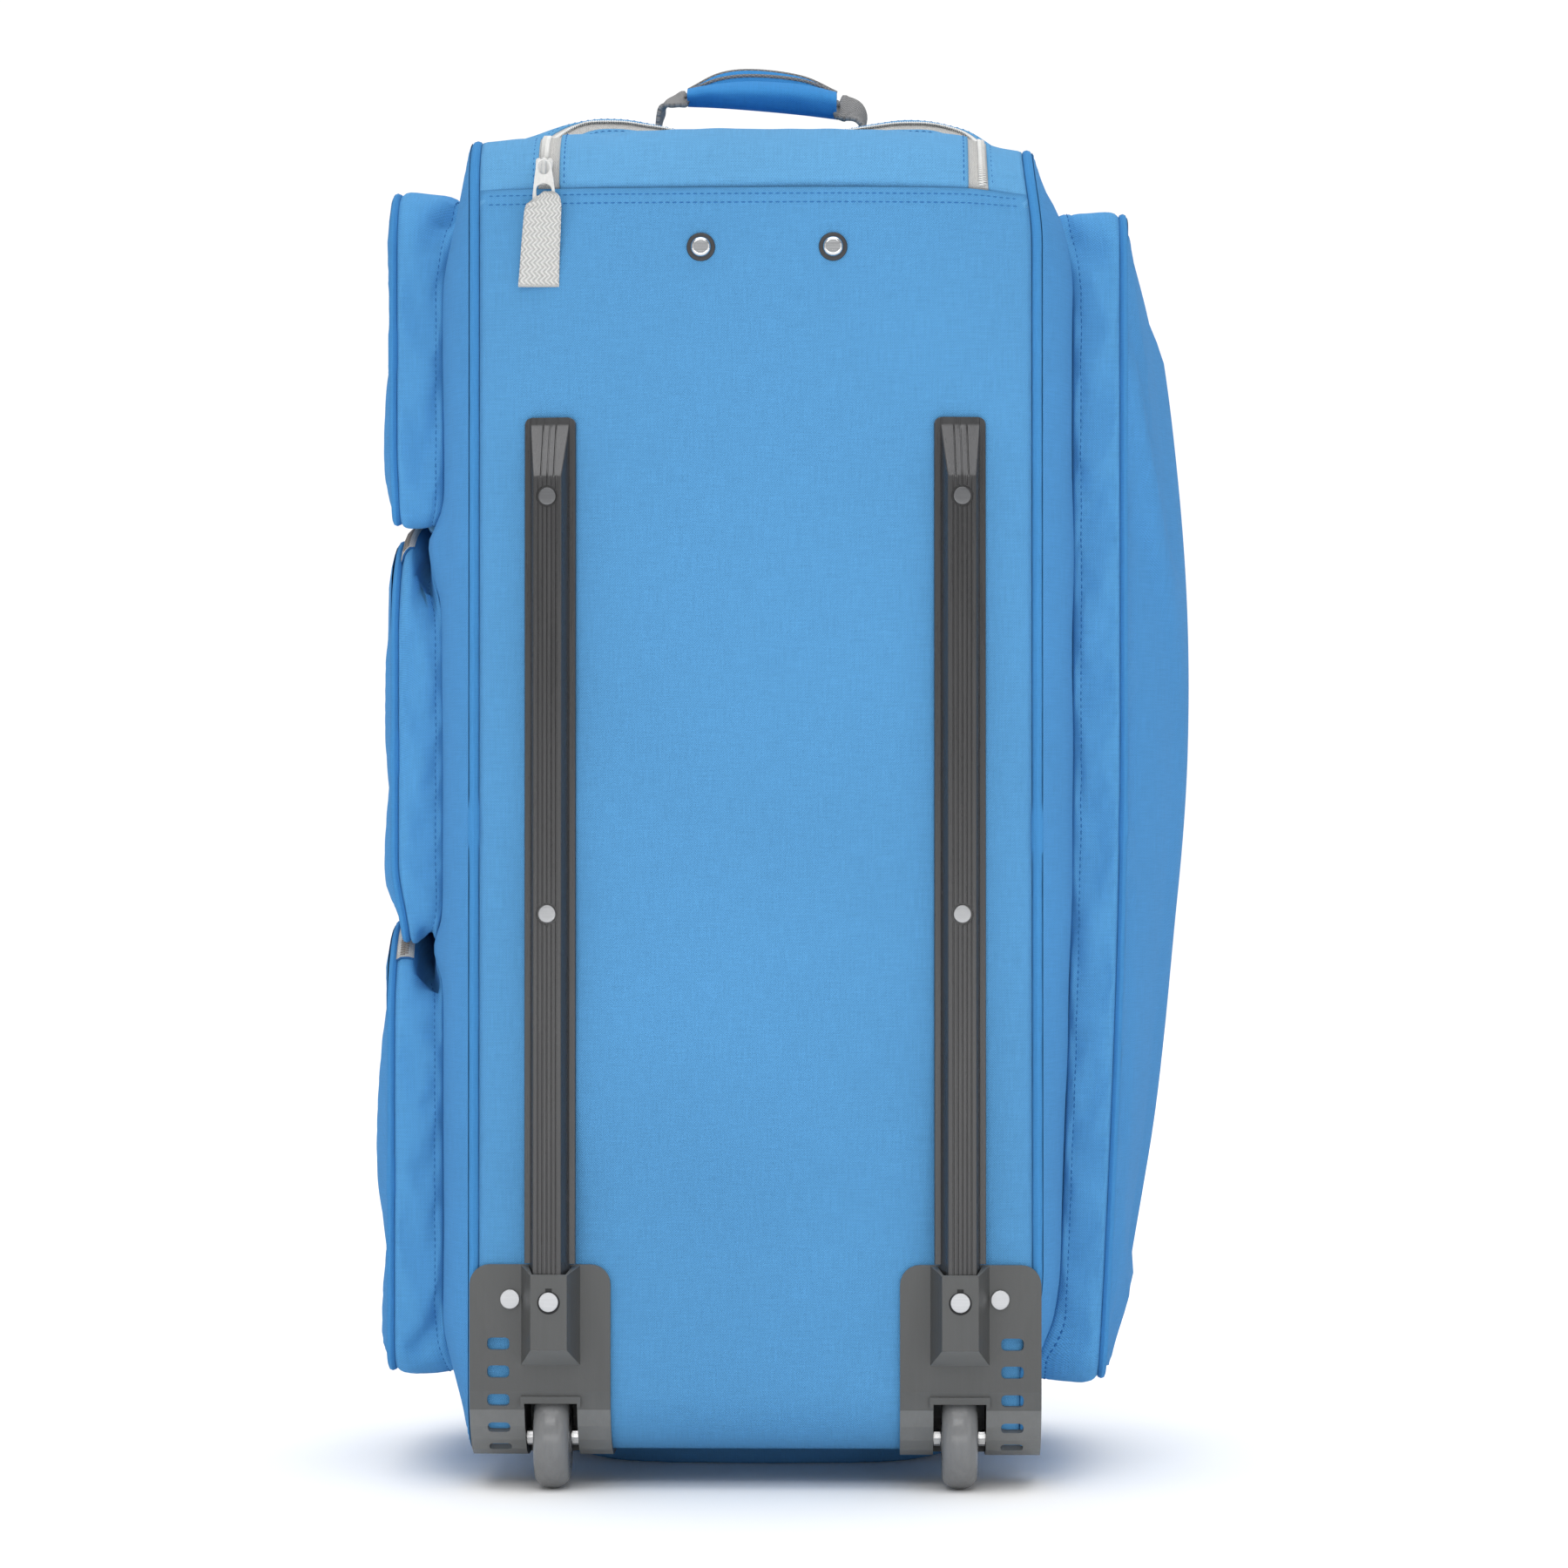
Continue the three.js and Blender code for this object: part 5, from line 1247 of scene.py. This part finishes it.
# Keyholes behind the rivets of the housings: a flat near-black ring and slot laid just on the housing,
# painted shade for the hollow of each keyhole
KEYHOLE_RING = ((4.5, 0), (6.3, 0))
KEYHOLE_SLOT = ((-1.8, 4.5), (1.8, 4.5), (1.8, 7.4), (-1.8, 7.4))
keyholes = Stack()
for side in (-1, 1):
    rivet = HOUSING_RIVETS[0]
    place = np.array([side * RAIL_X, -rivet["out"] - 0.06, rivet["z"]])
    turned(keyholes, KEYHOLE_RING, place - (0, 0, 0.5))
    keyholes.add([place + (x, 0, z) for x, z in KEYHOLE_SLOT], [[0, 1, 2, 3]])
piece("keyholes", keyholes, SHADE_PAINT)

# Wheels: a high round tread on a flat-sided hub
for word, side in SIDES:
    turns = np.linspace(-1, 1, 25) * math.pi / 2
    tread_x = WHEEL["half"] * np.sign(turns) * np.abs(np.sin(turns)) ** 0.85
    tread_r = WHEEL["radius"] - WHEEL["crown"] * (1 - np.cos(turns) ** 0.8)
    hub = [(-10.3, WHEEL["bore"]), (-10.3, WHEEL["hub"]), (-9.3, WHEEL["hub"] + 1.5), (-9.3, 17.5)]
    profile = hub + list(zip(tread_x, tread_r)) + [(-x, r) for x, r in hub[::-1]]
    x, r = np.array(profile).T
    angles = np.linspace(0, 2 * math.pi, 73)
    rows = stacked(
        side * RAIL_X + x[:, None], WHEEL["axle_y"] + r[:, None] * np.cos(angles),
        WHEEL["radius"] + r[:, None] * np.sin(angles))
    uv = stacked(angles * WHEEL["radius"], lengths(np.array(profile))[:, None])
    tyre = Stack().grid(rows, uv, flip=True)
    name = f"wheel_{word}"
    piece(f"{name}_tread", tyre, WHEEL_PAINT, [name], name, crease=40)

# Housings and axles keep their solid form and get rounded edges
for word in ("left", "right"):
    for name, material, width in (
            (f"wheel_housing_{word}", HOUSING_PAINT, 1.0), (f"axle_{word}", AXLE_PAINT, 0.3)):
        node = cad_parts[name]
        node.data.materials.clear()
        node.data.materials.append(material)
        soften(node, width)

# Studs: a dark washer under a domed cap
for word, x in zip(("left", "right"), STUD_XS):
    seat = on_base(x, STUD_Z)[0] - (0, 0.2, 0)
    washer = turned(Stack(), disc(**STUD_WASHER), seat)
    piece(f"stud_ring_{word}", washer, WASHER_PAINT, [f"stud_washer_{word}"], crease=50)
    cap = turned(Stack(), STUD_DOME, seat - (0, 1.2, 0), around=40)
    piece(f"stud_dome_{word}", cap, CHROME, [f"stud_cap_{word}"], crease=60)


# Grab handle: a webbing strap that turns its face to the viewer near the grip
strap_curve = smooth_columns(HANDLE_ROWS, 10).T
strap_spots = np.linspace(0, lengths(strap_curve[:, :2])[-1], 170)
strap_x, strap_z, strap_turn, strap_wide = along_path(strap_curve[:, :2], strap_curve, strap_spots).T
strap_run = lengths(np.stack([strap_x, strap_z], axis=1))
ahead = unit(np.stack([np.gradient(strap_x), np.gradient(strap_z)], axis=1))
across = np.linspace(-0.5, 0.5, 13)[None] * HANDLE["width"] * strap_wide[:, None]
lean = -across * np.sin(np.radians(strap_turn))[:, None]
strap = np.stack([
    strap_x[:, None] - ahead[:, 1:] * lean, HANDLE["y"] + across * np.cos(np.radians(strap_turn))[:, None],
    strap_z[:, None] + ahead[:, :1] * lean], axis=-1)
strap_uv = stacked(across, strap_run[:, None])
webbing = Stack().grid(strap, strap_uv)
webbing = piece("handle_webbing", webbing, HANDLE_WEBBING, ["handle_strap"])
thicken(webbing, HANDLE["thick"], 0)

# Grip: a padded wrap with two bound edges standing up behind its front
grip_x, grip_top, grip_bottom, grip_rim, grip_inner = smooth_columns(GRIP_ROWS, 14)
grip_rings = []
for x, top, bottom, rim, inner in zip(grip_x, grip_top, grip_bottom, grip_rim, grip_inner):
    controls = [
        (146.5, top), (137.5, lerp(top, bottom, 0.26)), (134.5, lerp(top, bottom, 0.6)),
        (140, bottom + 1.2), (149, bottom), (160, bottom + 2), (165, lerp(bottom, rim, 0.5)),
        (161.5, rim - 1), (157.5, rim - 0.6), (154, inner - 1.6), (150.5, top - 2.2)]
    grip_rings.append(curve_through(controls, 5, True))
grip_rings = np.array(grip_rings)
grip = stacked(grip_x[:, None], *np.moveaxis(grip_rings, -1, 0))
slant = grip[..., 0] + 1.6 * (grip[..., 2] - 790)
crease = 0.5 * waves(slant, grip[..., 2] * 2, 34, 61) + 0.35 * waves(grip[..., 0], grip[..., 2], 15, 62)
grip[..., 1] += crease * smooth(150, 142, grip[..., 1])
grip_run = lengths(np.stack([grip_x, grip_top], axis=1))
ring_run = lengths(np.concatenate([grip_rings[20], grip_rings[20, :1]]))
grip_closed = np.concatenate([grip, grip[:, :1]], axis=1)
grip_uv = stacked(grip_run[:, None], ring_run[None])
grip_stack = Stack().grid(grip_closed, grip_uv)
for end in (0, -1):
    grip_stack.add(grip[end], [np.arange(grip.shape[1])], grip[end, :, 1:])
grip_piece = piece("grip_wrap", grip_stack, GRIP_BLUE, ["handle_grip"])
bindings = Stack()
tube(bindings, np.stack([grip_x, 0 * grip_x + 159, grip_rim - 0.2], axis=1), 1.1, 10)
tube(bindings, np.stack([grip_x, 0 * grip_x + 154.5, grip_inner - 0.6], axis=1), 1.1, 10)
piece("grip_bindings", bindings, HANDLE_WEBBING)


# Zip slider with its bridge, the pull and the webbing tab
slider_run = head_run[LAP_ROWS] + math.radians(SLIDER["deg"]) * CORNER_BASE_HEAD
slider_seat, slider_up = on_head(SLIDER["x"], slider_run, 2.6)
slider_seat, slider_up = slider_seat[0], slider_up[0]
slider_rim = curve_through([
    (-4.8, 3.2), (-4.2, 5.0), (-2.4, 5.2), (-1.6, 3.6), (1.6, 3.6), (2.4, 5.2), (4.2, 5.0), (4.8, 3.2),
    (4.4, -1.5), (3.3, -4.6), (0, -5.4), (-3.3, -4.6), (-4.4, -1.5)], 4, True)
slider = plate([slider_rim], SLIDER["thick"], 0.6, slider_seat, -math.radians(SLIDER["deg"]))
bridge_rows = np.array([
    (4.0, 0.6), (3.4, 2.6), (1.6, 3.7), (-2.0, 3.9), (-5.4, 3.6), (-7.0, 2.4), (-6.8, 0.8)])
downhill = np.array([0, slider_up[2], -slider_up[1]])
bridge = slider_seat + bridge_rows[:, :1] * downhill + bridge_rows[:, 1:] * slider_up
tube(slider, curve_through(bridge, 6), 1.35, 12, (1.0, 0.0, 0.0))
piece("slider_body", slider, ENAMEL, ["zip_slider"], crease=45)

pull_half = curve_through([
    (0, 0), (2.6, -0.5), (4.1, -2.2), (4.6, -6), (5.3, -11), (5.9, -16), (6.3, -20), (6.2, -23.4),
    (5.2, -24.6), (0, -24.8)], 5)
pull_rim = np.concatenate([pull_half, pull_half[-2:0:-1] * (-1, 1)])
turn = np.radians(np.arange(0, 360, 12))
eye_hole = np.stack([3.1 * np.cos(turn), -4.8 + 3.8 * np.sin(turn)], axis=1)[::-1]
slot_hole = curve_through([
    (-4.1, -16.4), (-3.0, -14.6), (0, -13.6), (3.0, -14.6), (4.1, -16.4), (4.2, -19.2), (3.6, -20.4),
    (0, -20.7), (-3.6, -20.4), (-4.2, -19.2)], 4, True)
pull_place = np.array([SLIDER["x"] + 0.3, -PULL["out"], PULL["high"]])
pull = plate([pull_rim, eye_hole, slot_hole], PULL["thick"], 0.4, pull_place, PULL["lean"])
piece("pull_plate", pull, ENAMEL, ["zip_pull"], crease=45)

tab_z, tab_half, tab_out, tab_x = smooth_columns(TAB_ROWS, 8)
share = np.linspace(-1, 1, 15)[None]
gather = smooth(706, 719, tab_z)[:, None]
pleat = 0.9 * gather * np.cos(5.5 * share + 0.6) * (1 - share ** 2)
drop = -3.2 * gather * np.maximum(0, -share) ** 1.5
cockle = 0.35 * waves(tab_z[:, None] + 0 * share, 12 * share, 22, 71)
tab = stacked(
    tab_x[:, None] + tab_half[:, None] * share, -(tab_out[:, None] + pleat + cockle), tab_z[:, None] + drop)
tab_uv = stacked(10.7 * share, lengths(np.stack([tab_out, tab_z], axis=1))[:, None])
tab_stack = Stack().grid(tab, tab_uv, flip=True)
thicken(piece("tab_webbing", tab_stack, WEBBING, ["pull_tab"]), TAB_THICK)
hem = tube(Stack(), tab[-1] + (0, TAB_THICK / 2, 0), TAB_THICK / 2 + 0.1, 8)
piece("tab_fused_end", hem, TAPE)

# Camera, floor and light
camera = bpy.data.cameras.new("camera")
camera.sensor_width = CAMERA["sensor"]
camera.lens = CAMERA["lens"]
camera.dof.use_dof = False
eye = bpy.data.objects.new("camera", camera)
eye.location = (np.array(CAMERA["place"]) + SHIFT) / 1000
eye.rotation_euler = Euler((math.radians(90 + CAMERA["up"]), 0, math.radians(CAMERA["turn"])))
scene.collection.objects.link(eye)
scene.camera = eye

floor_mesh = bpy.data.meshes.new("floor")
floor_half = 6
corners = [(x * floor_half, y * floor_half, 0) for x, y in ((-1, -1), (1, -1), (1, 1), (-1, 1))]
floor_mesh.from_pydata(corners, [], [(0, 1, 2, 3)])
floor = bpy.data.objects.new("floor", floor_mesh)
floor_paint = Paint("floor")
floor_tone = floor_paint.noise(floor_paint.spot(), 2.0)
floor_shade = floor_paint.band(floor_tone, 0.3, 0.7, 0.985, 1.0)
floor_paint.set(Base_Color=floor_paint.shade(srgb(252, 252, 252), floor_shade), Roughness=0.85)
floor_mesh.materials.append(floor_paint.material)
scene.collection.objects.link(floor)


def softbox(name, place, aim, size, power):
    """A soft rectangular light that faces its aim."""
    light = bpy.data.lights.new(name, "AREA")
    light.shape = "RECTANGLE"
    light.size, light.size_y = size
    light.energy = power
    obj = bpy.data.objects.new(name, light)
    obj.location = place
    direction = np.array(aim) - np.array(place)
    pitch = math.atan2(direction[2], math.hypot(direction[0], direction[1]))
    turn = math.atan2(-direction[0], direction[1])
    obj.rotation_euler = Euler((math.pi / 2 + pitch, 0, turn))
    scene.collection.objects.link(obj)


SOFTBOXES = table(
    "name place aim size power",
    ("key", (-0.3, -2.4, 2.1), (0, 0, 0.5), (2.0, 0.9), 16.5),
    ("fill", (1.9, -1.7, 0.9), (0, 0, 0.4), (1.2, 1.4), 5),
    ("side", (-1.9, -1.7, 0.9), (0, 0, 0.4), (1.2, 1.4), 3),
    ("low", (0, -1.7, 0.12), (0, 0, 0.3), (2.4, 0.4), 6))
for row in SOFTBOXES:
    softbox(**row)
sun = bpy.data.lights.new("over", "SUN")
sun.energy = 1.6
sun.angle = math.radians(70)
over = bpy.data.objects.new("over", sun)
over.location = (0, 0, 3)
scene.collection.objects.link(over)


class Sky(Paint):
    """A white room, brightest behind the bag and dimmer to both sides."""

    def __init__(self):
        self.world = bpy.data.worlds.new("studio")
        self.world.use_nodes = True
        self.tree = self.world.node_tree
        self.shader = self.tree.nodes["Background"]


sky = Sky()
across, along = sky.parts(sky.node("ShaderNodeTexCoord").outputs["Generated"])[:2]
depthwise = sky.band(along, -0.6, 0.6, 0.6, 1.05)
sideways = sky.band(sky.maths("ABSOLUTE", across), 0.3, 0.9, 1.0, 0.55)
sky.set(Color=(1, 1, 1, 1), Strength=sky.maths("MULTIPLY", depthwise, sideways))
scene.world = sky.world
scene.view_settings.view_transform = "Standard"
